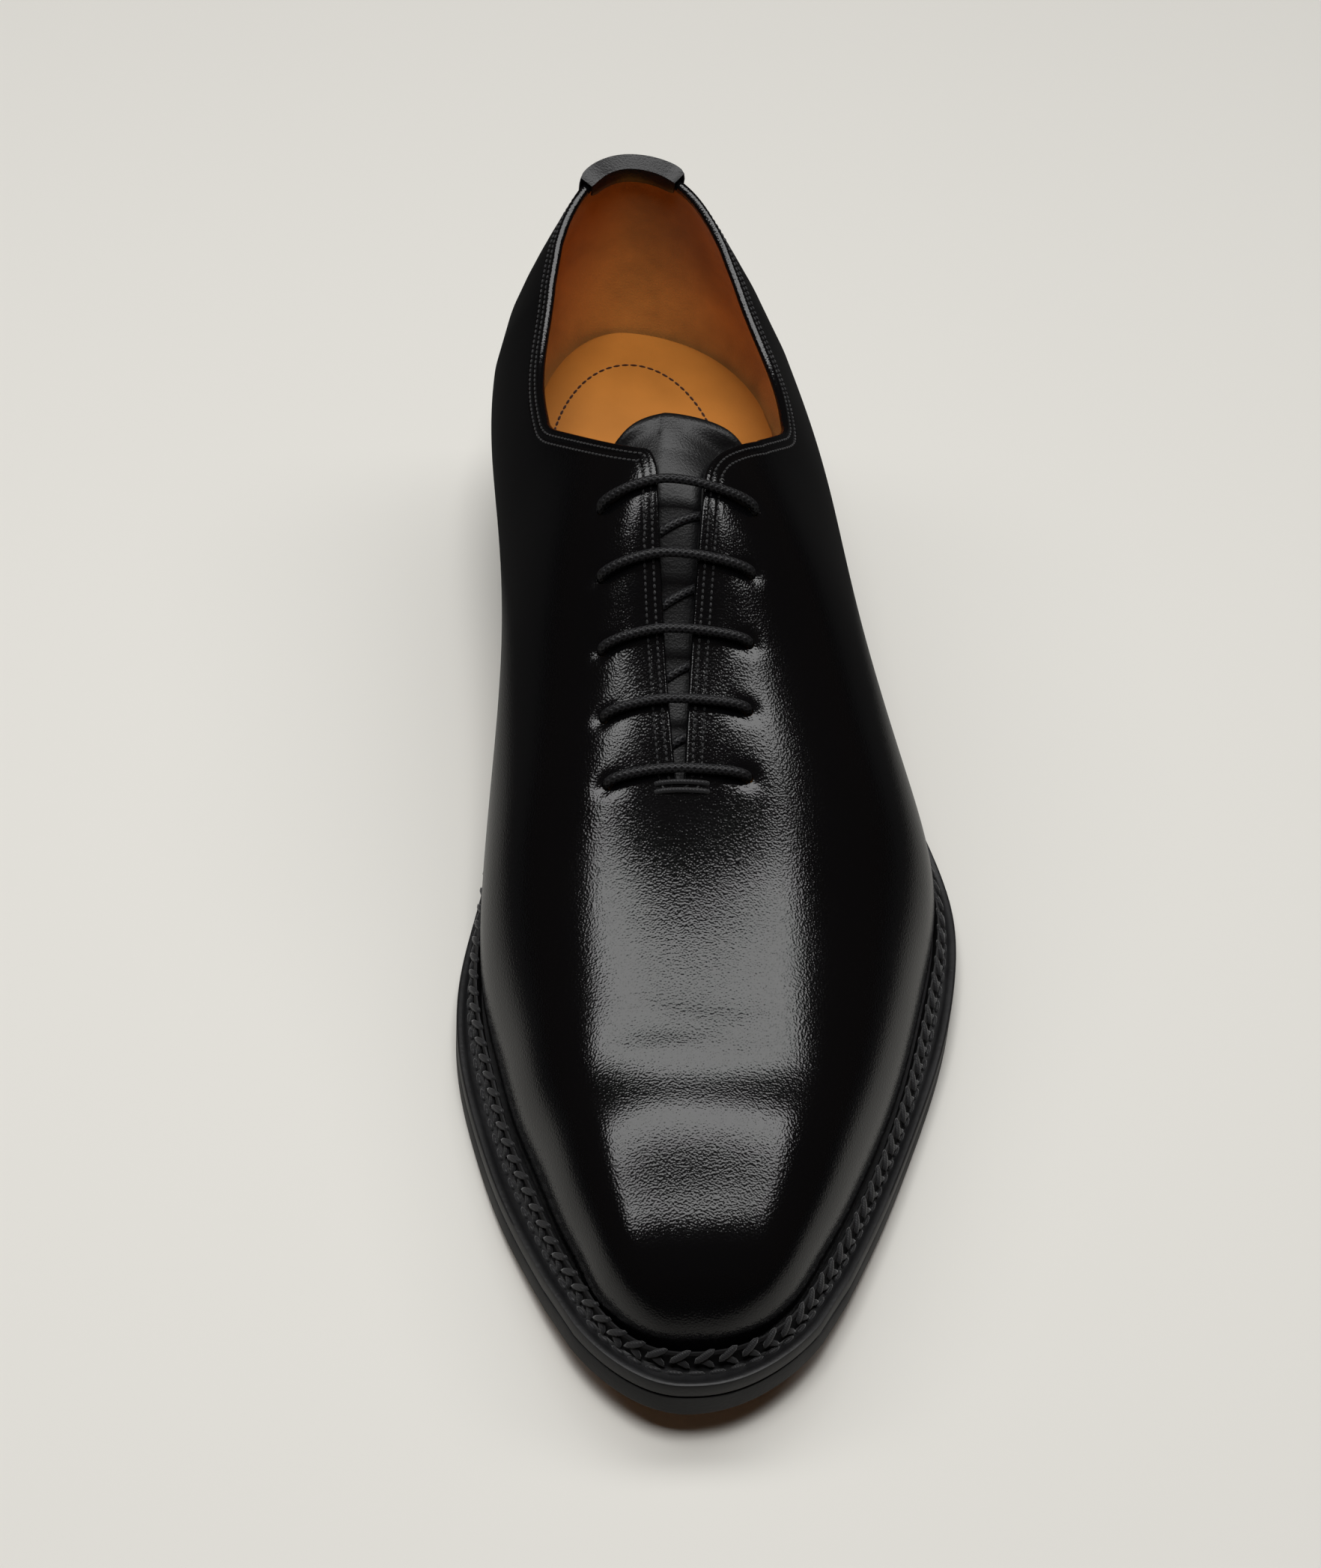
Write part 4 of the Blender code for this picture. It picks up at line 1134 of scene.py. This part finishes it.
class OXFORD_OT_insole(bpy.types.Operator):
    """Make the insole with its sock and stitched arc"""

    bl_idname = "oxford.insole"
    bl_label = "Insole and sock"

    def execute(self, context):
        loop = FEATHER - (WALL + 2 * SEAM_GAP) * outward(FEATHER)
        half = len(FEATHER_SHARES)
        inner, outer = loop[:half], np.concatenate([loop[half - 1 :], loop[:1]])[::-1]
        low, high = loop[:, 1].min(), loop[:, 1].max()
        around = np.sin(np.linspace(-0.5 * math.pi, 0.5 * math.pi, 150))
        us = 0.5 * (low + high) + 0.4999 * (high - low) * around
        order_in, order_out = np.argsort(inner[:, 1]), np.argsort(outer[:, 1])
        left = np.interp(us, inner[order_in, 1], inner[order_in, 0])
        right = np.interp(us, outer[order_out, 1], outer[order_out, 0])
        rings = []
        steps = np.linspace(0, 1, 33)
        for u, a, b in zip(us, left, right):
            seat = float(feather_height(u / LENGTH)) + SEAM_GAP
            wide = min(1.0, (b - a) / 0.03)
            round_ = min(0.0008, 0.3 * (b - a))
            xs = a + round_ * (1 - math.sin(1.2)) + (b - a - 2 * round_ * (1 - math.sin(1.2))) * steps
            dish = -0.0008 * np.sin(math.pi * steps) * wide
            fall = 0.0005 * (np.exp(-((xs - a) / 0.0007)) + np.exp(-((b - xs) / 0.0007)))
            lid = [(x, u, seat + INSOLE_THICKNESS + d - f) for x, d, f in zip(xs, dish, fall)]
            foot, brim = seat + 0.0008, seat + (INSOLE_THICKNESS - 0.0009)
            left_wall = [(a + round_, u, seat), (a, u, foot), (a, u, brim)]
            right_wall = [(b, u, brim), (b, u, foot), (b - round_, u, seat)]
            rings.append([*left_wall, *lid, *right_wall])
        sock = loft("insole_sock", rings, 50)
        dress(sock, "tan_leather", finish("tan_sock_leather"), "insole")
        self.arc(us, left, right)
        return {"FINISHED"}

    def arc(self, us, left, right):
        """The stitched arc round the heel seat of the sock."""
        angles = np.linspace(-0.12, math.pi + 0.12, 60)
        x = -0.0035 + 0.0215 * np.cos(angles)
        u = 0.062 - 0.046 * np.sin(angles)
        wide = np.interp(u, us, right) - np.interp(u, us, left)
        t = (x - np.interp(u, us, left)) / wide
        dish = 0.0008 * np.sin(math.pi * np.clip(t, 0, 1))
        top = feather_height(u / LENGTH) + SEAM_GAP + INSOLE_THICKNESS - dish
        line = placed(np.stack([x, u, top + 0.00002], 1))
        ups = np.tile([0.0, 0.0, 1.0], (len(line), 1))
        thread = thread_material("brown_thread", (0.035, 0.012, 0.006))
        stitches("sock_stitches", [(line, ups)], thread, 0.0021, 0.0019, 0.0007, 0.0004)


class OXFORD_OT_tongue(bpy.types.Operator):
    """Make the tongue with its raw edge and stitched border"""

    bl_idname = "oxford.tongue"
    bl_label = "Tongue"

    def face(self, rows, across, depth):
        """Points of the tongue's outer face at rows from base to top and across from side to side."""
        base, top = THROAT_BASE + 0.028, THROAT_TOP - 0.029
        t, v = np.broadcast_arrays(rows[:, None], across[None, :])
        end = top + 0.002 * v * v + 0.012 * v**6
        share = base + (end - base) * t
        half = 0.0105 + 0.0085 * smooth(t * 1.15)
        point, _ = over(throat_centre(share) + half * v, share, -depth)
        middle, _ = over(throat_centre(share), share, -depth)
        free = smooth((THROAT_TOP + 0.02 - share) / 0.03)
        point = point.copy()
        for row, loose in zip(point, free):
            for axis in (1, 2):
                even = np.polynomial.polynomial.polyfit(across, row[:, axis], 4)
                row[:, axis] += loose * (np.polynomial.polynomial.polyval(across, even) - row[:, axis])
        flatter = 0.55 * smooth((THROAT_TOP - 0.001 - share) / 0.028)
        point[..., 2] += flatter * (middle[..., 2] - point[..., 2])
        return point

    def execute(self, context):
        depth = WALL + LACE_DIAMETER + 4.5 * SEAM_GAP
        rows = np.linspace(0, 1, 90)
        across = np.sin(0.5 * math.pi * np.linspace(-1, 1, 49))
        top = self.face(rows, across, depth)
        along = np.gradient(top, axis=0)
        over_ = np.gradient(top, axis=1)
        normal = unit(np.cross(over_, along))
        edge = np.minimum(np.minimum(rows, 1 - rows)[:, None] * 0.09, (1 - np.abs(across))[None, :] * 0.012)
        sink = 0.0005 * np.exp(-edge / 0.0003)
        outer = top - sink[..., None] * normal
        inner = top - (TONGUE_THICKNESS - sink)[..., None] * normal
        r, c = top.shape[:2]
        points = np.concatenate([outer.reshape(-1, 3), inner.reshape(-1, 3)])
        faces = []
        for i in range(r - 1):
            for j in range(c - 1):
                a = i * c + j
                faces.append((a, a + 1, a + c + 1, a + c))
                faces.append(tuple(k + r * c for k in (a, a + c, a + c + 1, a + 1)))
        low, high = [*range(c)], [*range(r * c - 2, (r - 1) * c - 1, -1)]
        rim = [*low, *range(2 * c - 1, r * c, c), *high, *range((r - 2) * c, 0, -c)]
        for a, b in zip(rim, rim[1:] + rim[:1]):
            faces.append((a, a + r * c, b + r * c, b))
        tongue = solid("tongue_leather", points, faces, 50)
        dress(tongue, "black_calf", finish("black_plain_calf"), "tongue")
        self.border(top, normal)
        return {"FINISHED"}

    def border(self, top, normal):
        """Stitches 2 mm inside the tongue's edge, down both sides and over the top."""
        i, j = 86, 7
        path = [(k, j) for k in range(40, i)]
        path += [(i, k) for k in range(j, 49 - j)]
        path += [(k, 48 - j) for k in range(i, 40, -1)]
        line = np.array([placed(top[a, b] + 0.00012 * normal[a, b]) for a, b in path])
        ups = np.array([turned(normal[a, b]) for a, b in path])
        thread = thread_material("black_thread", bpy.context.scene.oxford_colours.thread)
        stitches("tongue_stitches", [(line, ups)], thread, 0.0028, 0.0022, 0.0007, 0.0006)


class OXFORD_OT_lace(bpy.types.Operator):
    """Run the waxed lace through the eyelets"""

    bl_idname = "oxford.lace"
    bl_label = "Lace"

    def execute(self, context):
        size = context.scene.oxford_sizes.lace
        above = size / 2 + 0.0005
        below = WALL + size / 2 + 0.0005
        rows = eyelet_places()
        route = []

        def eyelet(x, into, share):
            point, normal = over(x, share)
            return [
                over(x + into * 0.0016, share, -below - 0.0002)[0],
                point - (WALL + 0.0007) * normal,
                point - 0.3 * WALL * normal,
                over(x + into * 0.0007, share, 0.5 * above)[0],
                over(x + into * 0.0024, share, above)[0],
            ]

        for k, (share, inner, outer) in enumerate(rows):
            route += eyelet(outer, -1, share)
            for t in (0.25, 0.4, 0.5, 0.6, 0.75):
                route.append(over(outer + (inner - outer) * t, share, above)[0])
            route += eyelet(inner, 1, share)[::-1]
            if k + 1 < len(rows):
                next_share, _, next_outer = rows[k + 1]
                for t in (0.14, 0.32, 0.5, 0.68, 0.86):
                    x = inner + (next_outer - inner) * t
                    route.append(over(x, share + (next_share - share) * t, -below)[0])
        lace = tube("lace_cord", through(placed(np.array(route[1:-1])), 0.0004), size / 2)
        dress(lace, "waxed_cord", cord_material(), "lace")
        return {"FINISHED"}


def plan_reach(points, normals):
    """How far the sole's edge lies from plan points along their normals."""
    a, b = SOLE, np.roll(SOLE, -1, 0)
    edge = b - a
    cross = normals[:, None, 0] * edge[None, :, 1] - normals[:, None, 1] * edge[None, :, 0]
    gap = a[None] - points[:, None]
    safe = np.where(np.abs(cross) < 1e-15, 1e-15, cross)
    t = (gap[..., 0] * edge[None, :, 1] - gap[..., 1] * edge[None, :, 0]) / safe
    k = (gap[..., 0] * normals[:, None, 1] - gap[..., 1] * normals[:, None, 0]) / safe
    hit = (t > 0) & (k >= -1e-6) & (k <= 1 + 1e-6)
    return np.where(hit, t, 1.0).min(axis=1)


def feather_run(front):
    """Stops along the feather line, as points, normals, shares, sides and reach: the welt's or the rand's."""
    if front:
        ahead = np.concatenate([[WELT_END], FEATHER_SHARES[FEATHER_SHARES > WELT_END + 0.002]])
        shares = np.concatenate([ahead, ahead[-2::-1]])
        sides = np.concatenate([-np.ones(len(ahead)), np.ones(len(ahead) - 1)])
    else:
        end = WELT_END - SEAM_GAP / LENGTH
        behind = np.concatenate([FEATHER_SHARES[FEATHER_SHARES < end - 0.002], [end]])
        shares = np.concatenate([behind[::-1], behind[1:]])
        sides = np.concatenate([np.ones(len(behind)), -np.ones(len(behind) - 1)])
    points = np.stack([last_points(shares, sides)[:, 0], shares * LENGTH], 1)
    along = unit(np.gradient(points, axis=0))
    normals = np.stack([-along[:, 1], along[:, 0]], 1)
    return points, normals, shares, sides, plan_reach(points, normals)


def upper_lean(share, side):
    """How far the upper swells outwards for each unit of height just above the feather line."""
    near = np.clip(share, FEATHER_HEEL + 0.003, FEATHER_TOE - 0.003)
    low, high = last_points(near, side), last_points(near, side * 0.999)
    return np.maximum(0, side * (high[..., 0] - low[..., 0]) / np.maximum(high[..., 2] - low[..., 2], 1e-9))


def swept(name, run, section, angle=45):
    """A strip swept along the feather line; section gives rows of (out, height) from the reach."""
    points, normals, shares, sides, edge = run
    ring = section(shares, sides, edge)
    out, height = ring[..., 0], ring[..., 1]
    plan = points[:, None, :] + out[..., None] * normals[:, None, :]
    top = sole_top(np.clip(plan[..., 1] / LENGTH, 0, 1)) + SEAM_GAP
    return loft(name, np.concatenate([plan, (top + height)[..., None]], -1), angle)


class OXFORD_OT_welt(bpy.types.Operator):
    """Make the storm welt, its rope and its seam"""

    bl_idname = "oxford.welt"
    bl_label = "Storm welt"

    def ledge_and_lip(self, shares, sides, edge):
        lean = upper_lean(shares, sides)
        foot = np.full(len(shares), 2.6 * SEAM_GAP)
        lip = STORM_LIP_HEIGHT * (0.18 + 0.82 * smooth((shares - 0.3) / 0.22))
        ledge = np.minimum(foot + STORM_LIP_THICKNESS + 0.3 * lean * lip, 0.8 * edge)
        return lean, foot, lip, ledge

    def section(self, shares, sides, edge):
        lean, foot, lip, ledge = self.ledge_and_lip(shares, sides, edge)
        full = np.full(len(shares), WELT_THICKNESS)
        low = full - 0.0006
        rim = 0.0005
        zero = np.zeros(len(shares))
        brow = foot + lean * lip
        rows = [
            (zero - WELT_FLANGE, zero),
            (edge - rim, zero),
            (edge - 0.3 * rim, zero + 0.3 * rim),
            (edge, zero + rim),
            (edge, full - rim),
            (edge - 0.3 * rim, full - 0.3 * rim),
            (edge - rim, full),
            (edge - 0.0013, full),
            (edge - 0.0018, full - 0.0003),
            (edge - 0.0022, low),
            (ledge + 0.0004, low),
            (ledge, low + 0.0002),
            (ledge - 0.35 * (ledge - foot), full + 0.45 * lip),
            (np.maximum(brow + 0.5 * STORM_LIP_THICKNESS, foot + 0.6 * (ledge - foot)), full + 0.85 * lip),
            (brow + 0.3 * STORM_LIP_THICKNESS, full + 0.99 * lip),
            (brow + 0.1 * STORM_LIP_THICKNESS, full + lip),
            (brow, full + 0.9 * lip),
            (foot, full),
            (zero - WELT_FLANGE, full),
        ]
        return np.stack([np.stack([a, b], -1) for a, b in rows], 1)

    def line(self, run, out, height):
        """Points of the part's frame along the welt at distances out and heights on the welt."""
        points, normals = run[:2]
        plan = points + out[:, None] * normals
        z = sole_top(np.clip(plan[:, 1] / LENGTH, 0, 1)) + SEAM_GAP + height
        return placed(np.concatenate([plan, z[:, None]], 1))

    def execute(self, context):
        run = feather_run(True)
        welt = swept("welt_strip", run, self.section)
        dress(welt, "black_edge", finish("black_inked_edge"), "welt")
        points, normals, shares, sides, edge = run
        lean, foot, lip, ledge = self.ledge_and_lip(shares, sides, edge)
        sizes = context.scene.oxford_sizes
        thread = thread_material("black_welt_thread", (0.014, 0.014, 0.015))
        flat = turned(np.stack([0.25 * normals[:, 0], 0.25 * normals[:, 1], np.ones(len(points))], 1))
        middle = ledge + 0.45 * (edge - 0.002 - ledge)
        seam = self.line(run, middle, np.full(len(points), WELT_THICKNESS - 0.0005))
        lines = [(seam, unit(flat))]
        stitches("welt_seam", lines, thread, sizes.welt_pitch, 0.0037, 0.0011, 0.0009)
        tilt = unit(turned(np.stack([normals[:, 0], normals[:, 1], 0.9 * np.ones(len(points))], 1)))
        for name, rise, way in (("rope_upper", 0.78, 0.55), ("rope_lower", 0.36, -0.55)):
            out = foot + (lean * lip + 0.5 * STORM_LIP_THICKNESS) * rise + (ledge - foot) * (1 - rise) * 0.85
            rope = self.line(run, out, WELT_THICKNESS + rise * lip)
            keep = shares > 0.36
            lines = [(rope[keep], tilt[keep])]
            stitches(name, lines, thread, sizes.rope_pitch, 0.0052, 0.0016, 0.0012, way)
        return {"FINISHED"}


class OXFORD_OT_sole(bpy.types.Operator):
    """Make the outsole and the rand round the heel seat"""

    bl_idname = "oxford.sole"
    bl_label = "Outsole and rand"

    def rand(self, shares, sides, edge):
        rim = edge - 0.0009
        r = 0.0005
        zero = np.zeros(len(shares))
        full = zero + WELT_THICKNESS
        rows = [
            (zero - WELT_FLANGE, zero),
            (rim - r, zero),
            (rim, zero + r),
            (rim, full - r),
            (rim - 0.3 * r, full - 0.3 * r),
            (rim - r, full),
            (zero - WELT_FLANGE, full),
        ]
        return np.stack([np.stack([a, b], -1) for a, b in rows], 1)

    def execute(self, context):
        rand = swept("heel_rand_strip", feather_run(False), self.rand)
        dress(rand, "black_edge", finish("black_inked_edge"), "heel_rand")
        shares = SOLE_SHARES.copy()
        shares[0], shares[-1] = 1e-5, 1 - 1e-5
        low, high = sole_half(shares, -1), sole_half(shares, 1)
        cut = np.minimum(0.0009, 0.3 * (high - low))
        bottom, top = sole_bottom(shares), sole_top(shares)
        r = np.minimum(0.0004, 0.2 * (high - low))
        u = shares * LENGTH
        rows = [
            (low + cut, bottom),
            (high - cut, bottom),
            (high - 0.3 * cut, bottom + 0.0003),
            (high, bottom + 0.0009),
            (high, top - r),
            (high - 0.3 * r, top - 0.3 * r),
            (high - r, top),
            (low + r, top),
            (low + 0.3 * r, top - 0.3 * r),
            (low, top - r),
            (low, bottom + 0.0009),
            (low + 0.3 * cut, bottom + 0.0003),
        ]
        rings = np.stack([np.stack([x, u, z], -1) for x, z in rows], 1)
        sole = loft("outsole_leather", rings, 35)
        marks = sole.data.attributes.new("underside", "FLOAT", "CORNER")
        values = []
        for face in sole.data.polygons:
            values += [1.0 if face.normal.z < -0.75 else 0.0] * len(face.vertices)
        marks.data.foreach_set("value", values)
        dress(sole, "sole_leather", sole_material(), "outsole")
        return {"FINISHED"}


class OXFORD_OT_heel(bpy.types.Operator):
    """Make the stacked heel and its rubber top piece"""

    bl_idname = "oxford.heel"
    bl_label = "Heel"

    def ring(self, inset, height):
        front = HEEL_LENGTH - 0.5 * inset
        shares = np.append(SOLE_SHARES[SOLE_SHARES < BREAST - 0.004], BREAST)
        outer = np.stack([sole_half(shares, 1), shares * LENGTH], 1)[::-1]
        inner = np.stack([sole_half(shares, -1), shares * LENGTH], 1)[1:]
        path = np.concatenate([outer, inner])
        along = unit(np.gradient(path, axis=0))
        rear = path - inset * np.stack([-along[:, 1], along[:, 0]], 1)
        rear[0, 1] = rear[-1, 1] = front
        steps = np.linspace(0, 1, 26)[1:-1]
        left, right = rear[-1, 0], rear[0, 0]
        breast = np.stack([left + (right - left) * steps, front - 0.0028 * np.sin(math.pi * steps)], 1)
        plan = np.concatenate([rear, breast])
        return np.concatenate([plan, height(plan[:, 1] / LENGTH)[:, None]], 1)

    def execute(self, context):
        flat = lambda z: (lambda share: np.full(np.shape(share), z))
        r = 0.0009
        rows = [
            (r, 0.0),
            (0.3 * r, 0.3 * r),
            (0.0, r),
            (0.0, TOP_PIECE_THICKNESS - 0.0002),
            (0.0002, TOP_PIECE_THICKNESS),
        ]
        piece = loft("top_piece", [self.ring(HEEL_TAPER + inset, flat(z)) for inset, z in rows], 35)
        dress(piece, "top_piece_rubber", finish("black_rubber"), "heel_top_piece")
        base = TOP_PIECE_THICKNESS + SEAM_GAP
        rings = []
        lifts = 4
        for lift in range(lifts):
            for part, inset in ((0.03, 0.00022), (0.1, 0.0), (0.9, 0.0), (0.97, 0.00022)):
                at = (lift + part) / lifts
                level = lambda share, at=at: base + at * (sole_bottom(share) - SEAM_GAP - base)
                rings.append(self.ring(HEEL_TAPER * (1 - at) + 0.0007 + inset, level))
        stack = loft("heel_lifts", rings, 30)
        dress(stack, "black_edge", finish("black_inked_edge"), "heel_stack")
        return {"FINISHED"}


class OXFORD_OT_heel_tab(bpy.types.Operator):
    """Make the strap folded over the back of the collar"""

    bl_idname = "oxford.heel_tab"
    bl_label = "Heel tab"

    def heel_wall(self):
        """Heights of the heel's wall on a grid of shares and turns, for each side."""
        shares = FEATHER_HEEL + (0.2 - FEATHER_HEEL) * np.linspace(0, 1, 160) ** 2
        turns = np.linspace(0, 1, 400)
        grids = {side: last_points(shares[:, None], side * turns[None, :])[..., 2] for side in (-1, 1)}
        return shares, turns, grids

    def wall_place(self, x, height, side):
        """Share and turn where the heel's wall passes x at a height above the floor."""
        shares, turns, grids = self.grid
        turn = np.array([np.interp(-height, -h, turns) for h in grids[side]])
        xs = side * last_points(shares, side * turn)[:, 0]
        widest = int(np.argmax(xs)) + 1
        share = float(np.interp(side * x, xs[:widest], shares[:widest]))
        return share, side * float(np.interp(share, shares, turn))

    def execute(self, context):
        self.grid = self.heel_wall()
        middle = float(CURVE["ridge"](0.03)) * BALL_WIDTH
        clear = 1.6 * SEAM_GAP
        rings = []

        def skin(share, turn):
            return last_points(share, turn), last_normals(share, turn)

        top = np.array([0, 0, 1.0])
        for v in np.linspace(-1, 1, 31):
            x = middle + v * TAB_WIDTH / 2
            side = -1 if v < 0 else 1
            edge = float(topline_height(min(0.045, self.wall_place(x, float(topline_height(0.03)), side)[0])))
            leg = TAB_HEIGHT * (1 - 0.12 * v * v)
            thin = 1 - 0.55 * math.exp(-(1 - abs(v)) / 0.05)
            thick = TAB_THICKNESS * thin
            outside = [skin(*self.wall_place(x, edge - leg * t, side)) for t in np.linspace(1.0, 0.06, 12)]
            inside = [skin(*self.wall_place(x, edge - h, side)) for h in (0.0008, 0.0016, 0.0026)]
            back, far = outside[-1][1], inside[0][1]
            ring = [p + n * clear for p, n in outside]
            ring.append(outside[-1][0] + back * clear * 0.6 + top * (0.06 * leg + clear))
            ring.append(inside[0][0] - far * (WALL + 0.6 * clear) + top * (0.0008 + clear))
            ring += [p - n * (WALL + clear) for p, n in inside]
            ring += [p - n * (WALL + clear + thick) for p, n in inside[::-1]]
            skim = 0.7 * thick
            ring.append(inside[0][0] - far * (WALL + 0.6 * clear + skim) + top * (0.0008 + clear + skim))
            ring.append(outside[-1][0] + back * (clear * 0.6 + skim) + top * (0.06 * leg + clear + skim))
            ring += [p + n * (clear + thick) for p, n in outside[::-1]]
            rings.append(ring)
        tab = loft("heel_tab_leather", rings, 50)
        dress(tab, "black_calf", finish("black_plain_calf"), "heel_tab")
        return {"FINISHED"}


class OXFORD_OT_stitching(bpy.types.Operator):
    """Sew the collar, the facings and the foot of the throat"""

    bl_idname = "oxford.stitching"
    bl_label = "Stitching"

    def execute(self, context):
        thread = thread_material("black_thread", context.scene.oxford_colours.thread)
        pitch = context.scene.oxford_sizes.pitch
        for name, distance in zip(("edge_row", "second_row"), STITCH_ROWS):
            line = self.offset(distance)
            spots, normals = laid(placed(line), 0.00006)
            stitches(name, [(spots, normals)], thread, pitch, 0.00112, 0.0005, 0.00036)
        self.tack(thread)
        return {"FINISHED"}

    def offset(self, distance):
        edge = evened(wall().edge_line(), 0.0008)
        along = unit(np.gradient(edge, axis=0))
        turn = turn_near(edge)
        share = np.clip(edge[:, 1] / LENGTH, FEATHER_HEEL + 0.0005, FEATHER_TOE)
        normal = last_normals(share, turn)
        away = unit(np.cross(along, normal))
        return edge + distance * away

    def tack(self, thread):
        """Two thick strands across the foot of the throat."""
        parts = []
        for k, u in enumerate((0.1817, 0.1834)):
            x = np.linspace(-0.0061, 0.0049, 40)
            lift = 0.0006 * np.clip(np.sin(math.pi * np.linspace(0, 1, 40)), 0, 1) ** 0.35 - 0.0002
            point, _ = over(x, u / LENGTH, lift)
            parts.append(tube(f"tack_{k}", placed(point), 0.00055, 10, 3.0))
        tack = joined("throat_tack", parts)
        dress(tack, "waxed_cord", thread)


class OXFORD_OT_stage(bpy.types.Operator):
    """Set the floor, the lights and the camera"""

    bl_idname = "oxford.stage"
    bl_label = "Stage"

    def light(self, name, place, aim, size, power, tint=(1, 1, 1)):
        lamp = bpy.data.lights.new(name, "AREA")
        lamp.shape = "RECTANGLE"
        lamp.size, lamp.size_y = size
        lamp.energy = power
        lamp.color = tint
        obj = bpy.data.objects.new(name, lamp)
        obj.location = place
        obj.rotation_euler = (Vector(aim) - Vector(place)).to_track_quat("-Z", "Y").to_euler()
        bpy.context.scene.collection.objects.link(obj)
        return obj

    def execute(self, context):
        scene = context.scene
        self.floor()
        self.light("softbox_over", (-0.06, 0.315, 1.05), (-0.06, 0.315, 0.0), (2.2, 0.40), 9.0)
        fill = self.light("fill", (-0.1, -0.3, 1.3), (0.0, 0.05, 0.0), (0.5, 0.5), 11.5)
        fill.visible_glossy = False
        self.sky(scene)
        self.camera(scene)
        scene.view_settings.view_transform = "Standard"
        return {"FINISHED"}

    def floor(self):
        mesh = bpy.data.meshes.new("floor")
        reach = 6.0
        corners = [(-reach, -reach, 0), (reach, -reach, 0), (reach, reach, 0), (-reach, reach, 0)]
        mesh.from_pydata(corners, [], [(0, 1, 2, 3)])
        floor = bpy.data.objects.new("floor", mesh)
        bpy.context.scene.collection.objects.link(floor)
        made, tree, shader = new_material("pale_floor", tuple(bpy.context.scene.oxford_colours.floor), 0.7)
        # Painted reflection: only for glossy rays the floor's colour turns black away from the forefoot, so
        # the leather's sides show a painted dark reflection and the pale ring close to the forefoot a painted
        # rim highlight along its lower sides.
        path = tree.nodes.new("ShaderNodeLightPath")
        place = tree.nodes.new("ShaderNodeTexCoord")
        away = node(tree, "ShaderNodeVectorMath", {1: (0.0, -0.07, 0.0)}, operation="DISTANCE")
        tree.links.new(place.outputs["Object"], away.inputs[0])
        rear = ranged(tree, away.outputs["Value"], 0.6, 0.985, 0.10, 0.19)
        dark = node(tree, "ShaderNodeMath", operation="MULTIPLY")
        tree.links.new(path.outputs["Is Glossy Ray"], dark.inputs[0])
        tree.links.new(rear, dark.inputs[1])
        pale = tuple(bpy.context.scene.oxford_colours.floor)
        tree.links.new(mixed(tree, dark.outputs[0], pale, (0.0, 0.0, 0.0)), shader.inputs["Base Color"])
        mesh.materials.append(made)

    def sky(self, scene):
        """A dim room: the floor's colour to the eye, darker to the leather."""
        world = bpy.data.worlds.new("room")
        world.use_nodes = True
        tree = world.node_tree
        seen = tree.nodes["Background"]
        seen.inputs["Color"].default_value = (0.72, 0.705, 0.66, 1)
        dim = node(tree, "ShaderNodeBackground", {"Color": (0.9, 0.66, 0.5, 1), "Strength": 0.02})
        path = tree.nodes.new("ShaderNodeLightPath")
        mix = tree.nodes.new("ShaderNodeMixShader")
        tree.links.new(path.outputs["Is Camera Ray"], mix.inputs["Fac"])
        tree.links.new(dim.outputs[0], mix.inputs[1])
        tree.links.new(seen.outputs[0], mix.inputs[2])
        tree.links.new(mix.outputs[0], tree.nodes["World Output"].inputs["Surface"])
        scene.world = world

    def camera(self, scene):
        """The photograph's place and lens, turned the shortest way to the one shoe."""
        data = bpy.data.cameras.new("photo_camera")
        data.lens = 88.84
        data.sensor_width = 36.0
        camera = bpy.data.objects.new("photo_camera", data)
        tilt = math.radians(44)
        right = Vector((1, 0, 0))
        up = Vector((0, math.cos(tilt), math.sin(tilt)))
        ahead = Vector((0, math.sin(tilt), -math.cos(tilt)))
        ahead = (ahead + 0.0699 * right + 0.0033 * up).normalized()
        up = (up - ahead * up.dot(ahead)).normalized()
        right = ahead.cross(up)
        turn = Matrix((right, up, -ahead)).transposed().to_4x4()
        turn.translation = Vector((-0.0702, -0.5966, 0.6474))
        camera.matrix_world = turn
        scene.collection.objects.link(camera)
        scene.camera = camera


STEPS = (
    OXFORD_OT_upper,
    OXFORD_OT_lining,
    OXFORD_OT_insole,
    OXFORD_OT_tongue,
    OXFORD_OT_lace,
    OXFORD_OT_welt,
    OXFORD_OT_sole,
    OXFORD_OT_heel,
    OXFORD_OT_heel_tab,
    OXFORD_OT_stitching,
    OXFORD_OT_stage,
)


class OXFORD_PT_steps(bpy.types.Panel):
    """The shoe's pieces, in the order they are made"""

    bl_idname = "OXFORD_PT_steps"
    bl_label = "Whole cut oxford"
    bl_space_type = "VIEW_3D"
    bl_region_type = "UI"
    bl_category = "Oxford"

    def draw(self, context):
        for step in STEPS:
            self.layout.operator(step.bl_idname)
        for group in (context.scene.oxford_sizes, context.scene.oxford_colours):
            for name in group.__annotations__:
                self.layout.prop(group, name)


CLASSES = (OxfordSizes, OxfordColours, *STEPS, OXFORD_PT_steps)


def register():
    for made in CLASSES:
        bpy.utils.register_class(made)
    bpy.types.Scene.oxford_sizes = PointerProperty(type=OxfordSizes)
    bpy.types.Scene.oxford_colours = PointerProperty(type=OxfordColours)


def unregister():
    del bpy.types.Scene.oxford_colours
    del bpy.types.Scene.oxford_sizes
    for made in reversed(CLASSES):
        bpy.utils.unregister_class(made)


def main():
    """Register and make every piece in order."""
    register()
    for step in STEPS:
        group, name = step.bl_idname.split(".")
        getattr(getattr(bpy.ops, group), name)()


if __name__ == "__main__":
    main()
